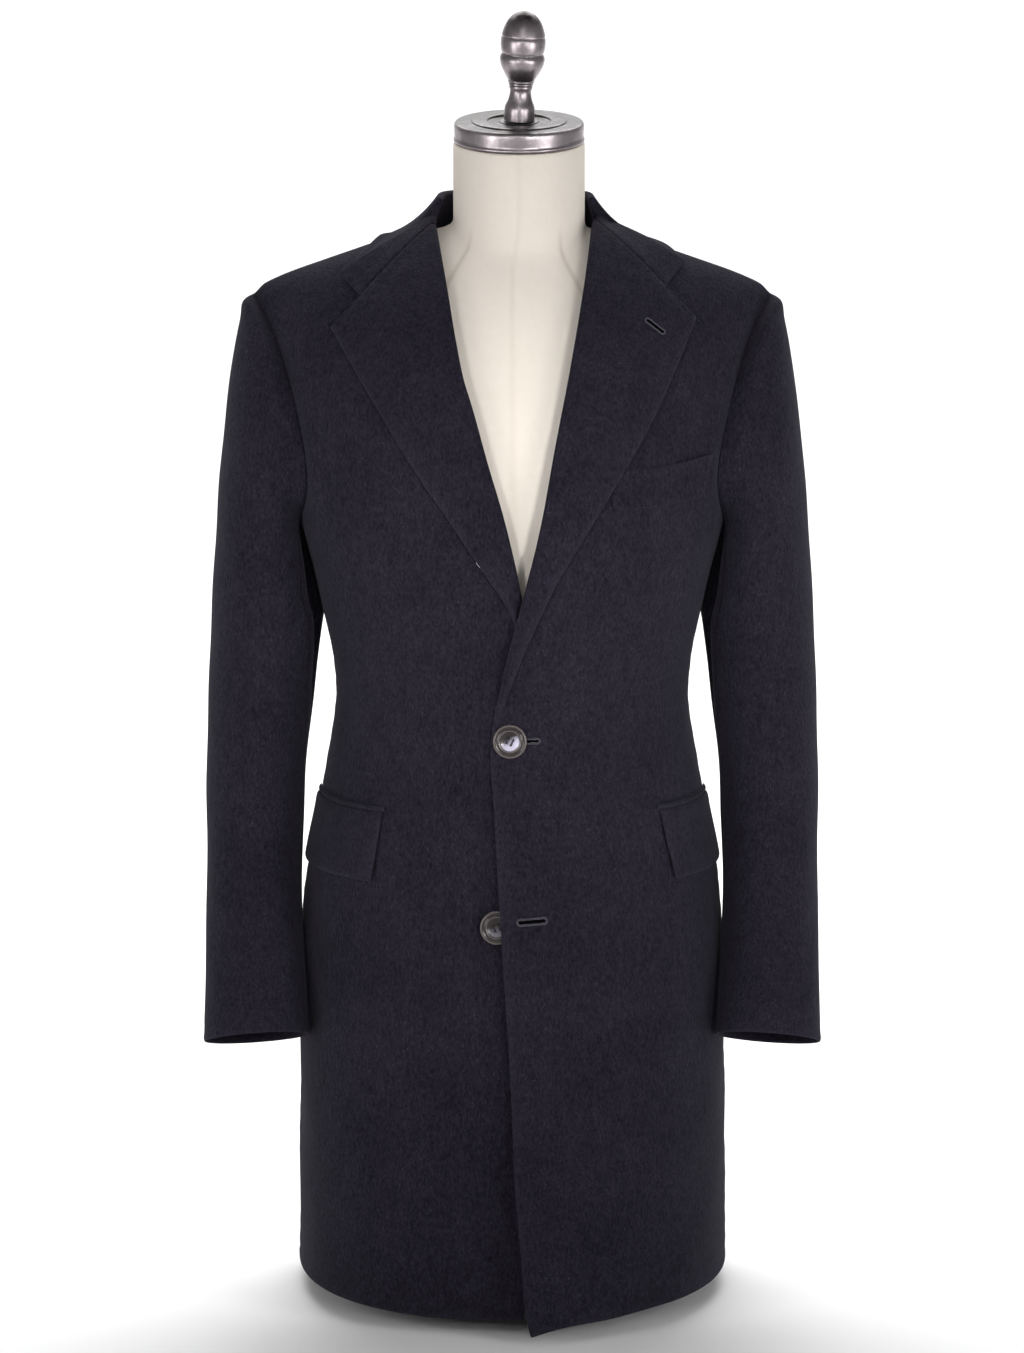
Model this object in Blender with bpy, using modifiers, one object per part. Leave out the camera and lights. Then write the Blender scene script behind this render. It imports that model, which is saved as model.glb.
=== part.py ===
"""A single-breasted wool overcoat with notch lapels, worn by a short canvas dress form.

Metres, +Z up, the front of the coat towards -Y and the wearer's left towards +X. The origin is the middle of
the round base's underside. Every cloth panel is cut from one torso surface: an angle runs round the body
from the centre front, and a level runs up it, 0 at the hem, 1 at the armpit and 2 at the shoulder ridge.
"""

import math
from collections import namedtuple

import bmesh
import bpy
import numpy as np

# ---------------------------------------------------------------- driving sizes
CLOTH = 0.0024  # one layer of overcoating
SEAM = 0.0003  # the space left at every seam
ON_TOP = 0.0005  # the space under what lies flat on a panel
HEM = 0.016  # height of the hem above the base's underside
ARMPIT = 0.710
NECK_POINT = 0.0765  # half-width of the neckline on the shoulder ridge
ROUNDNESS = 2.3  # power of the body's rounded sections
ARM_FLARE = 0.050  # how much wider the chest would be at the shoulder if it had no armhole
ROLL = 0.00395  # radius of the rolled edge of lapel and collar
NECK_SHIFT = 0.0060  # the neck of the form stands this far to the wearer's left of the coat's centre
LEAN = math.radians(10)  # the neck cap tips forward

Section = namedtuple("Section", "z half_width front back middle")
SECTIONS = (
    Section(0.016, 0.198, 0.176, 0.168, 0.030),
    Section(0.144, 0.197, 0.172, 0.162, 0.028),
    Section(0.211, 0.196, 0.169, 0.158, 0.026),
    Section(0.300, 0.1945, 0.165, 0.152, 0.023),
    Section(0.3615, 0.1915, 0.161, 0.145, 0.020),
    Section(0.410, 0.185, 0.156, 0.136, 0.017),
    Section(0.455, 0.176, 0.150, 0.126, 0.014),
    Section(0.492, 0.169, 0.144, 0.118, 0.011),
    Section(0.529, 0.163, 0.140, 0.112, 0.009),
    Section(0.556, 0.160, 0.139, 0.110, 0.008),
    Section(0.585, 0.162, 0.140, 0.110, 0.007),
    Section(0.621, 0.169, 0.1435, 0.112, 0.005),
    Section(0.665, 0.1785, 0.148, 0.117, 0.003),
    Section(0.710, 0.190, 0.150, 0.122, 0.000),
)

# The armhole in front view: rise is 0 at the armpit and 1 at the shoulder.
Armhole = namedtuple("Armhole", "rise x")
ARMHOLE = (
    Armhole(0.0, 0.190),
    Armhole(0.2, 0.1857),
    Armhole(0.43, 0.1925),
    Armhole(0.6, 0.2010),
    Armhole(0.79, 0.2135),
    Armhole(1.0, 0.2345),
)

# Lines on the fronts, as x at each height, with the wearer's left positive.
Line = namedtuple("Line", "z x")
LEFT_EDGE = (
    Line(0.006, 0.0185),
    Line(0.030, 0.0115),
    Line(0.0666, 0.0083),
    Line(0.140, 0.0024),
    Line(0.222, -0.0011),
    Line(0.346, -0.0086),
    Line(0.472, -0.0161),
    Line(0.5285, -0.0191),
    Line(0.566, -0.0143),
)
RIGHT_EDGE = (Line(0.006, -0.010), Line(0.20, -0.017), Line(0.533, -0.0215), Line(0.600, -0.0180))
LEFT_CREASE = (
    Line(0.566, -0.0143),
    Line(0.609, -0.0048),
    Line(0.667, 0.0102),
    Line(0.720, 0.0235),
    Line(0.790, 0.0370),
    Line(0.848, 0.0486),
    Line(0.928, 0.0630),
    Line(0.978, 0.0706),
)
RIGHT_CREASE = (
    Line(0.600, -0.0180),
    Line(0.675, -0.0058),
    Line(0.729, 0.0072),
    Line(0.779, 0.0220),
    Line(0.824, 0.0347),
    Line(0.849, 0.0425),
    Line(0.881, 0.0492),
    Line(0.927, 0.0575),
    Line(0.976, 0.0672),
)
LEFT_LAPEL = (
    Line(0.566, -0.0070),
    Line(0.6207, 0.0125),
    Line(0.6741, 0.0364),
    Line(0.749, 0.0830),
    Line(0.8036, 0.1161),
    Line(0.8977, 0.1615),
)
RIGHT_LAPEL = (
    Line(0.600, -0.0105),
    Line(0.6457, 0.0015),
    Line(0.6926, 0.0316),
    Line(0.7283, 0.0552),
    Line(0.7692, 0.0840),
    Line(0.8156, 0.1131),
    Line(0.8900, 0.1592),
)
LEFT_NOTCH, LEFT_TIP = Line(0.9245, 0.1346), Line(0.9444, 0.1525)
RIGHT_NOTCH, RIGHT_TIP = Line(0.9169, 0.1337), Line(0.9349, 0.1522)

# How far the left front stands over the right one, by height.
Lift = namedtuple("Lift", "z out")
OVERLAP = (
    Lift(0.006, 0.0270),
    Lift(0.060, 0.0230),
    Lift(0.150, 0.0165),
    Lift(0.250, 0.0130),
    Lift(0.369, 0.0120),
    Lift(0.440, 0.0070),
    Lift(0.500, 0.0038),
    Lift(0.540, 0.0034),
    Lift(0.575, 0.0066),
    Lift(0.610, 0.0104),
    Lift(0.680, 0.0105),
    Lift(0.740, 0.0060),
    Lift(0.800, 0.0010),
    Lift(0.860, 0.0000),
)

# Sleeve rings from the armhole to the cuff: the outermost and innermost points, half the depth,
# the middle's y, and in degrees how far the ring tips forward and how far its seams turn inward.
Ring = namedtuple("Ring", "outer_x outer_z inner_x inner_z half_depth y tip twist")
SLEEVE = (
    Ring(0.2400, 0.9110, 0.1908, 0.7035, 0.0680, 0.000, 0, 0),
    Ring(0.2490, 0.8750, 0.1890, 0.6950, 0.0705, 0.001, 0, 0),
    Ring(0.2572, 0.8210, 0.1858, 0.6820, 0.0725, 0.002, 0, 0),
    Ring(0.2645, 0.7550, 0.1815, 0.6650, 0.0735, 0.003, 0, -3),
    Ring(0.2695, 0.6900, 0.1772, 0.6430, 0.0735, 0.004, 0, -6),
    Ring(0.2740, 0.6200, 0.1737, 0.6180, 0.0725, 0.005, 0, -2),
    Ring(0.2770, 0.5500, 0.1812, 0.5500, 0.0680, 0.005, 1, 11),
    Ring(0.2790, 0.4850, 0.1880, 0.4850, 0.0635, 0.001, 5, 20),
    Ring(0.2787, 0.4200, 0.1912, 0.4200, 0.0600, -0.008, 10, 26),
    Ring(0.2784, 0.3580, 0.1915, 0.3600, 0.0565, -0.027, 15, 29),
    Ring(0.2787, 0.3000, 0.1878, 0.3040, 0.0530, -0.049, 18, 30),
    Ring(0.2790, 0.2455, 0.1835, 0.2530, 0.0505, -0.071, 18, 30),
)
ROUND_SLEEVE = 20  # points round each sleeve
FRONT_SEAM, BACK_SEAM = 8, -6  # where top and under sleeve meet, counted from the outermost point to the front

# Pocket flaps: height of top and bottom, and where the front edge stands at each.
FLAP_TOP, FLAP_BOTTOM, FLAP_END = 0.4648, 0.4035, 1.50
FLAP_FRONTS = {"left": (0.1300, 0.1421), "right": (0.1145, 0.1230)}
FLAP_CLOTH, WELT_CLOTH = 0.0032, 0.0030
JET_HEIGHT = 0.0060

# The breast welt, as its bottom and top at three stations across the left chest.
Welt = namedtuple("Welt", "x_bottom z_bottom x_top z_top")
WELT = (
    Welt(0.0855, 0.7395, 0.0865, 0.7705),
    Welt(0.1210, 0.7372, 0.1280, 0.7722),
    Welt(0.1677, 0.7436, 0.1776, 0.7810),
)

WAIST_BUTTON, LOWER_BUTTON = Line(0.5327, -0.0022), Line(0.3694, -0.0135)

# The collar's back half, from the centre back to the shoulder ridge: the fold, where the neck seam and the
# leaf's edge lie on the coat's back, how high the edge stands off it, and how far the leaf sags between.
Stand = namedtuple("Stand", "fold_x fold_y fold_z seam_x seam_rise leaf_x leaf_z lift sag")
COLLAR = (
    Stand(0.0000, 0.0735, 1.0080, 0.0000, 0.850, 0.0000, 0.9460, 0.0050, 0.002),
    Stand(0.0310, 0.0665, 1.0080, 0.0330, 0.872, 0.0440, 0.9450, 0.0050, 0.003),
    Stand(0.0540, 0.0450, 1.0080, 0.0580, 0.925, 0.0830, 0.9480, 0.0048, 0.006),
    Stand(0.0665, 0.0190, 1.0070, 0.0715, 0.972, 0.1080, 0.9580, 0.0044, 0.0095),
    Stand(0.0690, -0.0040, 1.0025, 0.0765, 1.000, 0.1206, 0.9700, 0.0040, 0.0130),
)
COLLAR_SHIFT = 0.0028

# The form: heights of its rings.
FORM_RINGS = (
    0.300, 0.312, 0.350, 0.400, 0.450, 0.500, 0.550, 0.600, 0.650, 0.700, 0.750, 0.800,
    0.845, 0.880, 0.905, 0.920, 0.932, 0.944, 0.956, 0.968, 0.982, 1.000, 1.025,
)
FORM_ROUND = 32
NECK_RADIUS = 0.0590
CAP_TOP, CAP_HEIGHT = 1.0714, 0.0180
POLE_RADIUS, BASE_RADIUS, BASE_HEIGHT = 0.0125, 0.1250, 0.0120

COLOURS = {  # colour, roughness, metallic
    "wool": ((0.014, 0.012, 0.023), 0.95, 0.0),
    "horn": ((0.035, 0.024, 0.022), 0.30, 0.0),
    "canvas": ((0.72, 0.66, 0.54), 0.80, 0.0),
    "pewter": ((0.42, 0.42, 0.42), 0.35, 1.0),
}


# ---------------------------------------------------------------- curves and the torso surface
def along(rows, column, at):
    """A smooth curve through one column of a table, read at values of the table's first column."""
    x = np.array([row[0] for row in rows])
    y = np.array([getattr(row, column) for row in rows])
    slope = np.gradient(y, x)
    at = np.clip(at, x[0], x[-1])
    i = np.clip(np.searchsorted(x, at) - 1, 0, len(x) - 2)
    w = x[i + 1] - x[i]
    t = (at - x[i]) / w
    start = y[i] * (1 + 2 * t) + slope[i] * w * t
    end = y[i + 1] * (3 - 2 * t) - slope[i + 1] * w * (1 - t)
    return start * (1 - t) ** 2 + end * t**2


def between_rows(rows, share, opening):
    """A smooth row between two rows of a table. The opening is the row that would come before the first."""
    table = np.array([opening] + [list(row) for row in rows] + [rows[-1]], float)
    i = min(int(share), len(rows) - 2)
    t = share - i
    before, start, end, after = table[i : i + 4]
    slope = ((end - before) / 2, (after - start) / 2)
    blend = (1 + 2 * t) * (1 - t) ** 2 * start + t * t * (3 - 2 * t) * end
    return type(rows[0])(*(blend + t * (1 - t) ** 2 * slope[0] - t * t * (1 - t) * slope[1]))


def power(value, exponent):
    return np.sign(value) * np.abs(value) ** exponent


def ridge(x):
    """Height of the shoulder line."""
    out = np.abs(x)
    return 0.981 - 0.343 * (out - 0.072) - 1.87 * np.maximum(out - 0.187, 0) ** 2


def rise_of(level):
    return np.clip(level - 1, 0, 1)


def half_width(level):
    z = HEM + np.minimum(level, 1) * (ARMPIT - HEM)
    return along(SECTIONS, "half_width", z) + ARM_FLARE * rise_of(level)


def torso(angle, level):
    """Points of the coat's outer surface. The angle is 0 at the front, and positive to the wearer's left."""
    angle, level = np.broadcast_arrays(np.asarray(angle, float), np.asarray(level, float))
    round_it, rise = np.abs(angle), rise_of(level)
    z = HEM + np.minimum(level, 1) * (ARMPIT - HEM)
    x = np.sign(angle) * half_width(level) * power(np.sin(round_it), 2 / ROUNDNESS)
    middle = along(SECTIONS, "middle", z)
    front = (along(SECTIONS, "front", z) + middle) * (1 - rise**1.8) ** 0.588
    swell = 1 + 0.09 * np.sin(math.pi * rise)
    back = (along(SECTIONS, "back", z) - middle) * swell * (1 - rise**2.8) ** 0.55
    depth = np.where(round_it < math.pi / 2, front, back)
    y = middle - depth * power(np.cos(round_it), 2 / ROUNDNESS)
    z = z + rise * (ridge(x) - ARMPIT)
    z = z + 0.005 * np.sin(round_it) ** 2 * np.clip(1 - level, 0, 1) ** 12
    return np.stack([x, y, z], axis=-1)


def unit(vectors):
    return vectors / np.maximum(np.linalg.norm(vectors, axis=-1, keepdims=True), 1e-12)


def outward(angle, level):
    """The torso's unit normals. On the ridge the front's and the back's are one."""
    step = 1e-3
    level = np.asarray(level, float)
    inside = np.minimum(level, 2 - 2 * step)
    across = torso(angle + step, inside) - torso(angle - step, inside)
    up = torso(angle, inside + step) - torso(angle, inside - step)
    normal = unit(np.cross(across, up))
    flat = normal * np.array([1, 0, 1])
    return np.where((level > 2 - step)[..., None], unit(flat), normal)


def angle_at(x, level, back=False):
    share = np.clip(np.abs(x) / half_width(level), 0, 1)
    turn = np.arcsin(share ** (ROUNDNESS / 2))
    return np.where(np.asarray(x) < 0, -1, 1) * (math.pi - turn if back else turn)


def level_at(x, z):
    low = (z - HEM) / (ARMPIT - HEM)
    high = 1 + (z - ARMPIT) / (ridge(x) - ARMPIT)
    return np.where(z < ARMPIT, low, np.minimum(high, 2))


def overlap(points):
    """How far the left front is moved out, at points of the torso's surface."""
    across = np.clip((points[..., 0] - 0.020) / 0.120, 0, 1)
    fade = 1 - across**2 * (3 - 2 * across)
    return along(OVERLAP, "out", points[..., 2]) * fade * (points[..., 1] < 0)


def on_front(side, x, z, out=0.0, back=False):
    """Points on a front, or on the back, moved out from the cloth, and their normals."""
    level = level_at(x, z)
    angle = angle_at(x, level, back)
    points, normals = torso(angle, level), outward(angle, level)
    if side == "left" and not back:
        out = out + overlap(points)
    return points + normals * np.asarray(out)[..., None], normals


# ---------------------------------------------------------------- solids
def material(name):
    if name in bpy.data.materials:
        return bpy.data.materials[name]
    colour, roughness, metallic = COLOURS[name]
    made = bpy.data.materials.new(name)
    made.use_nodes = True
    shader = made.node_tree.nodes["Principled BSDF"]
    shader.inputs["Base Color"].default_value = (*colour, 1)
    shader.inputs["Roughness"].default_value = roughness
    shader.inputs["Metallic"].default_value = metallic
    return made


def add_object(name, mesh, finish):
    made = bpy.data.objects.new(name, mesh)
    bpy.data.collections["wool_overcoat"].objects.link(made)
    mesh.materials.append(material(finish))
    mesh.shade_smooth()
    mesh.set_sharp_from_angle(angle=math.radians(40))
    return made


def wall(name, face, lining, finish="wool"):
    """A sheet of cloth as one closed solid, from the grids of its two sides.

    The rim's twisted quads are split the same way on both sides of a seam, so that neighbours keep apart.
    """
    rows, columns = face.shape[:2]
    index = np.arange(rows * columns).reshape(rows, columns)
    quads = np.stack([index[:-1, :-1], index[:-1, 1:], index[1:, 1:], index[1:, :-1]], axis=-1).reshape(-1, 4)
    rim = np.concatenate([index[0, :], index[1:, -1], index[-1, -2::-1], index[-2:0:-1, 0]])
    points = np.concatenate([face.reshape(-1, 3), lining.reshape(-1, 3)])
    start, end = rim, np.roll(rim, -1)
    under_start, under_end = start + rows * columns, end + rows * columns
    falling = np.stack([end, start, under_end, start, under_start, under_end], axis=-1)
    rising = np.stack([end, start, under_start, end, under_start, under_end], axis=-1)
    falls = points[start, 2] > points[end, 2]
    sides = np.where(falls[:, None], falling, rising).reshape(-1, 3)
    faces = np.concatenate([quads, quads[:, ::-1] + rows * columns]).tolist() + sides.tolist()
    mesh = bpy.data.meshes.new(name)
    mesh.from_pydata(points, [], faces)
    tidy = bmesh.new()
    tidy.from_mesh(mesh)
    if tidy.calc_volume(signed=True) < 0:
        bmesh.ops.reverse_faces(tidy, faces=tidy.faces)
    tidy.to_mesh(mesh)
    tidy.free()
    return add_object(name, mesh, finish)


def turned(name, profile, finish, steps=32, place=(0, 0, 0), lean=0.0, roll=0.0):
    """A turned solid from (radius, height) points, listed from the top down."""
    outline = bmesh.new()
    points = [outline.verts.new((radius, 0, height)) for radius, height in profile]
    for upper, lower in zip(points, points[1:]):
        outline.edges.new((upper, lower))
    mesh = bpy.data.meshes.new(name)
    outline.to_mesh(mesh)
    outline.free()
    made = add_object(name, mesh, finish)
    screw = made.modifiers.new("turn", "SCREW")
    screw.steps = screw.render_steps = steps
    screw.use_merge_vertices = True
    screw.merge_threshold = 0.0001
    screw.use_smooth_shade = True
    made.location = place
    made.rotation_euler = (lean, roll, 0)
    return made


def pulled(grid, amount=SEAM / 2, first_row=False, last_row=False, first_column=False, last_column=False):
    """The grid with some of its edges drawn in along the cloth."""
    drawn = grid.copy()
    if first_row:
        drawn[0] += unit(grid[1] - grid[0]) * amount
    if last_row:
        drawn[-1] += unit(grid[-2] - grid[-1]) * amount
    if first_column:
        drawn[:, 0] += unit(grid[:, 1] - grid[:, 0]) * amount
    if last_column:
        drawn[:, -1] += unit(grid[:, -2] - grid[:, -1]) * amount
    return drawn


def tube_normals(grid):
    """Outward normals of a sleeve's grid, whose columns run all round."""
    around = np.roll(grid, -1, axis=1) - np.roll(grid, 1, axis=1)
    return unit(np.cross(around, np.gradient(grid, axis=0)))


def mitred(own, other, thick=CLOTH):
    """Vectors from the face to the lining where two sheets meet at an angle, or the sheet's own past 120 degrees."""
    both = own + other
    length = np.linalg.norm(both, axis=-1, keepdims=True)
    return np.where(length > 1, 2 * thick * both / np.maximum(length, 1) ** 2, thick * own)


# ---------------------------------------------------------------- the body of the coat
LOWER_ROWS = (0.016, 0.070, 0.140, 0.220, 0.300, 0.370, 0.430, 0.480, 0.525, 0.566, 0.605, 0.640, 0.675)
UPPER = ROUND_SLEEVE // 2
UPPER_RISES = tuple((1 + math.cos(math.pi * k / UPPER)) / 2 for k in range(UPPER, -1, -1))
LEVELS = np.array([(z - HEM) / (ARMPIT - HEM) for z in LOWER_ROWS] + [1 + rise for rise in UPPER_RISES])
FRONT_COLUMNS, BACK_COLUMNS = 12, 8


def armhole_angle(level, back=False):
    return np.where(
        level > 1, angle_at(along(ARMHOLE, "x", rise_of(level)), level, back), math.pi / 2
    )


def front_inside(side, levels):
    """Where a front panel's inner edge stands at each level: its free edge, then inside the lapel's roll."""
    edge, crease = (LEFT_EDGE, LEFT_CREASE) if side == "left" else (RIGHT_EDGE, RIGHT_CREASE)
    x = np.zeros(len(levels))
    for _ in range(4):
        z = np.where(levels < 1, HEM + levels * (ARMPIT - HEM), ARMPIT + rise_of(levels) * (ridge(x) - ARMPIT))
        x = np.where(z < crease[0].z, along(edge, "x", z), along(crease, "x", z) + ROLL + 0.0004)
    x[-1] = NECK_POINT
    return x


def front_grid(side, levels=LEVELS, columns=FRONT_COLUMNS):
    """(points, normals, armhole row) of a front panel, rows from hem to shoulder, columns to the side seam."""
    share = np.linspace(0, 1, columns + 1)[None, :]
    inner = angle_at(front_inside(side, levels), levels)[:, None]
    outer = armhole_angle(levels)[:, None]
    angle, level = inner + (outer - inner) * share, levels[:, None] + 0 * share
    points, normals = torso(angle, level), outward(angle, level)
    if side == "left":
        points = points + normals * overlap(points)[..., None]
        near_edge = np.clip(1 - (points[..., 0] - 0.0185) / 0.045, 0, 1) ** 2 * (level < 0.02)
        points[..., 2] -= 0.008 * near_edge
    return points, normals


def back_grid(levels=LEVELS, columns=BACK_COLUMNS):
    """As front_grid, for a back panel: columns run from the centre back to the side seam."""
    share = np.linspace(0, 1, columns + 1)[None, :]
    count = len(levels)
    seam_x = np.zeros(count)
    seam_level = levels.copy()
    neck = COLLAR[0].seam_rise
    upper = levels > 1
    seam_level[upper] = 1 + neck * (np.arange(upper.sum()) + 1) / (upper.sum() + 1 - len(COLLAR))
    for number, stand in enumerate(COLLAR):
        row = number - len(COLLAR)
        seam_x[row], seam_level[row] = stand.seam_x, 1 + stand.seam_rise
    inner = angle_at(seam_x, seam_level, back=True)[:, None]
    outer = armhole_angle(levels, back=True)[:, None]
    angle = inner + (outer - inner) * share
    level = seam_level[:, None] + (levels - seam_level)[:, None] * share
    return torso(angle, level), outward(angle, level)


def mirrored(side, grid):
    return grid * np.array([1 if side == "left" else -1, 1, 1])


def armhole_loop():
    """(points, body normals) round the left armhole, from the shoulder over the front."""
    rises = np.array(UPPER_RISES)[::-1]
    front = armhole_angle(1 + rises)
    back = armhole_angle(1 + rises, back=True)
    angles = np.concatenate([front, back[-2:0:-1]])
    levels = 1 + np.concatenate([rises, rises[-2:0:-1]])
    return torso(angles, levels), outward(angles, levels)


def sleeve_grid():
    """The left sleeve's rings, closed round, from the armhole to the cuff."""
    turn = 2 * math.pi * np.arange(ROUND_SLEEVE) / ROUND_SLEEVE
    loop, _ = armhole_loop()

    def ellipse(outer, inner, half_depth, y, tip, twist):
        middle, half = (outer + inner) / 2, (outer - inner) / 2
        forward = np.array([0, -math.cos(tip), math.sin(tip)]) * half_depth
        centre = middle + np.array([0, y, 0])
        return centre + np.cos(turn + twist)[:, None] * half + np.sin(turn + twist)[:, None] * forward

    first = ellipse(loop[0], loop[UPPER], 0.066, 0.0, 0.0, 0.0)
    rings = [loop]
    for number, ring in enumerate(SLEEVE):
        outer, inner = np.array([ring.outer_x, 0, ring.outer_z]), np.array([ring.inner_x, 0, ring.inner_z])
        shape = ellipse(outer, inner, ring.half_depth, ring.y, math.radians(ring.tip), math.radians(ring.twist))
        rings.append(shape + (loop - first) * 0.5 ** (number + 1))
    return np.array(rings)


def make_body():
    loop, body_normals = armhole_loop()
    sleeve = sleeve_grid()
    sleeve_normals = tube_normals(sleeve)
    upper = LEVELS > 1
    for side in ("left", "right"):
        for part, (points, normals) in (("front", front_grid(side)), ("back", back_grid())):
            inward = normals * CLOTH
            half_loop = np.arange(UPPER, -1, -1) if part == "front" else np.arange(UPPER, 2 * UPPER + 1)
            half_loop = half_loop % ROUND_SLEEVE
            meets = mitred(body_normals[half_loop], sleeve_normals[0][half_loop])
            inward[-UPPER - 1 :, -1] = meets
            face = pulled(points, last_row=True, first_column=part == "back", last_column=True)
            wall(f"{side}_{part}", mirrored(side, face), mirrored(side, face - inward))
    lining = sleeve_normals * CLOTH
    lining[0] = mitred(sleeve_normals[0], body_normals)
    for part, columns in (
        ("top_sleeve", np.arange(BACK_SEAM, FRONT_SEAM + 1)),
        ("under_sleeve", np.arange(FRONT_SEAM, ROUND_SLEEVE + BACK_SEAM + 1)),
    ):
        columns = columns % ROUND_SLEEVE
        face = pulled(sleeve[:, columns], first_row=True, first_column=True, last_column=True)
        for side in ("left", "right"):
            wall(f"{side}_{part}", mirrored(side, face), mirrored(side, face - lining[:, columns]))


# ---------------------------------------------------------------- lapels and collar
HOOK = tuple(math.radians(a) for a in (-90, -45, 0, 45, 90))
FLAT = (0.14, 0.36, 0.58, 0.80, 1.0)
LAPEL_ROWS = 12
LAPEL_LIFT = {"left": 0.0068, "right": 0.0045}


def lapel_row(side, crease, edge, small=1.0, lift=0.0045, depth=0.0):
    """A lapel along one line, at some depth in its cloth: round the roll, then out over the front to its edge."""
    seam_x = crease.x + ROLL + 0.0004
    foot, normal = on_front(side, np.array(seam_x), np.array(crease.z))
    above, _ = on_front(side, np.array(seam_x + 0.0015), np.array(crease.z + 0.010))
    into_opening = unit(np.cross(normal, above - foot))
    radius = ROLL * small
    centre = foot + into_opening * 0.0004 + normal * (radius - CLOTH)
    roll = [centre + (radius - depth) * (math.cos(a) * into_opening + math.sin(a) * normal) for a in HOOK]
    share = np.array(FLAT)
    height = (2 * radius - CLOTH) * (1 - share) + lift * share + 0.0030 * small * np.sin(math.pi * share)
    x = seam_x + (edge.x - seam_x) * share
    z = crease.z + (edge.z - crease.z) * share
    flat, _ = on_front(side, x, z, height - depth)
    return np.array(roll + list(flat))


def lapel_grid(side, depth):
    crease, edge, notch = (
        (LEFT_CREASE, LEFT_LAPEL, LEFT_NOTCH) if side == "left" else (RIGHT_CREASE, RIGHT_LAPEL, RIGHT_NOTCH)
    )
    rows = []
    for number in range(LAPEL_ROWS + 1):
        share = number / LAPEL_ROWS
        crease_z = crease[0].z + (crease[-1].z - crease[0].z) * share
        edge_z = edge[0].z + (edge[-1].z - edge[0].z) * min(number / (LAPEL_ROWS - 1), 1)
        end = Line(edge_z, along(edge, "x", edge_z)) if number < LAPEL_ROWS else notch
        small = 0.74 + 0.26 * min(share * 3, 1)
        lift = LAPEL_LIFT[side] + (LAPEL_LIFT["right"] - LAPEL_LIFT[side]) * max(3 * share - 2, 0)
        rows.append(lapel_row(side, Line(crease_z, along(crease, "x", crease_z)), end, small, lift, depth))
    return pulled(np.array(rows), SEAM, last_row=True)


def neck_seam(stand, depth):
    """Where the collar's stand starts, beside the panels' neck edge."""
    level = 1 + stand.seam_rise
    angle = angle_at(stand.seam_x, level, back=stand.seam_rise < 1)
    seam, normal = torso(angle, level), outward(angle, level)
    toward_neck = seam * np.array([-1, -1, 0])
    toward_neck = unit(toward_neck - normal * (toward_neck @ normal))
    return seam + toward_neck * 2 * SEAM - normal * (CLOTH - depth)


def collar_station(share, side_sign, depth):
    """The collar across one station of its back half: up the stand, over the fold, and down the leaf."""
    mirror = np.array([side_sign, 1, 1])
    opening = np.array(COLLAR[1]) * np.array([-1, 1, 1, -1, 1, -1, 1, 1, 1])
    stand = between_rows(COLLAR, share, opening)
    fold = np.array([side_sign * stand.fold_x + COLLAR_SHIFT, stand.fold_y, stand.fold_z])
    below, above = neck_seam(COLLAR[math.floor(share)], depth), neck_seam(COLLAR[math.ceil(share)], depth)
    start = (below + (above - below) * (share % 1)) * mirror
    at = (np.array(stand.leaf_x), np.array(stand.leaf_z))
    outer, _ = on_front("right", *at, stand.lift, back=stand.fold_y > 0)
    leaf, _ = on_front("right", *at, stand.lift - depth, back=stand.fold_y > 0)
    outer, leaf = outer * mirror, leaf * mirror
    out = unit((outer - fold) * np.array([1, 1, 0]))
    up = np.array([0.0, 0.0, 1.0])
    centre = fold - up * ROLL
    over = [centre + (ROLL - depth) * (math.cos(a) * out + math.sin(a) * up) for a in np.radians((170, 110, 55))]
    rise = [start, start + (over[0] - start) * 0.5]
    last = over[-1]
    steer = (last + leaf) / 2 - np.array([0, 0, stand.sag]) - out * 0.002
    share = np.array(FLAT)[:, None]
    fall = last * (1 - share) ** 2 + 2 * steer * share * (1 - share) + leaf * share**2
    return np.array(rise + over + list(fall))


def collar_half(side, depth):
    """Stations from the centre back to the gorge, where the collar meets the lapel."""
    sign = 1 if side == "left" else -1
    crease, tip, notch = (
        (LEFT_CREASE, LEFT_TIP, LEFT_NOTCH) if side == "left" else (RIGHT_CREASE, RIGHT_TIP, RIGHT_NOTCH)
    )
    lift = LAPEL_LIFT["right"]
    stations = [collar_station(half / 2, sign, depth) for half in range(2 * len(COLLAR) - 1)]
    gorge = mirrored(side, lapel_row(side, crease[-1], notch, 1.0, lift, depth))
    high = Line(crease[-1].z + 0.003, crease[-1].x + 0.0012)
    over_tip = mirrored(side, lapel_row(side, high, tip, 1.0, lift, depth))
    last = stations[-1]
    between = last + (over_tip - last) * 0.5
    middle_x = (COLLAR[-1].leaf_x + tip.x) / 2 + 0.002
    middle, _ = on_front(side, np.array(middle_x), np.array(tip.z + 0.0125), lift - depth)
    share = np.linspace(0, 1, len(last))[:, None]
    between += share**2 * (mirrored(side, middle) - between[-1])
    between[:, 2] -= 0.0035 * np.sin(math.pi * share[:, 0]) ** 2
    toward_tip = over_tip.copy()
    toward_tip[:5] += (last - over_tip)[:5] * 0.22
    return stations + [between, toward_tip, gorge]


def collar_grid(depth):
    return pulled(np.array(collar_half("right", depth)[:0:-1] + collar_half("left", depth)), SEAM, True, True)


def make_lapels_and_collar():
    for side in ("left", "right"):
        face, lining = lapel_grid(side, 0.0), lapel_grid(side, CLOTH)
        wall(f"{side}_lapel", mirrored(side, face), mirrored(side, lining))
    wall("collar", collar_grid(0.0), collar_grid(CLOTH))


# ---------------------------------------------------------------- pockets
def patch(name, side, x, z, out, thick):
    """A flat piece on a front, from grids of x and z and its outer height above the cloth."""
    face, normals = on_front(side, x, z, out)
    wall(name, mirrored(side, face), mirrored(side, face - normals * thick))


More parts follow.
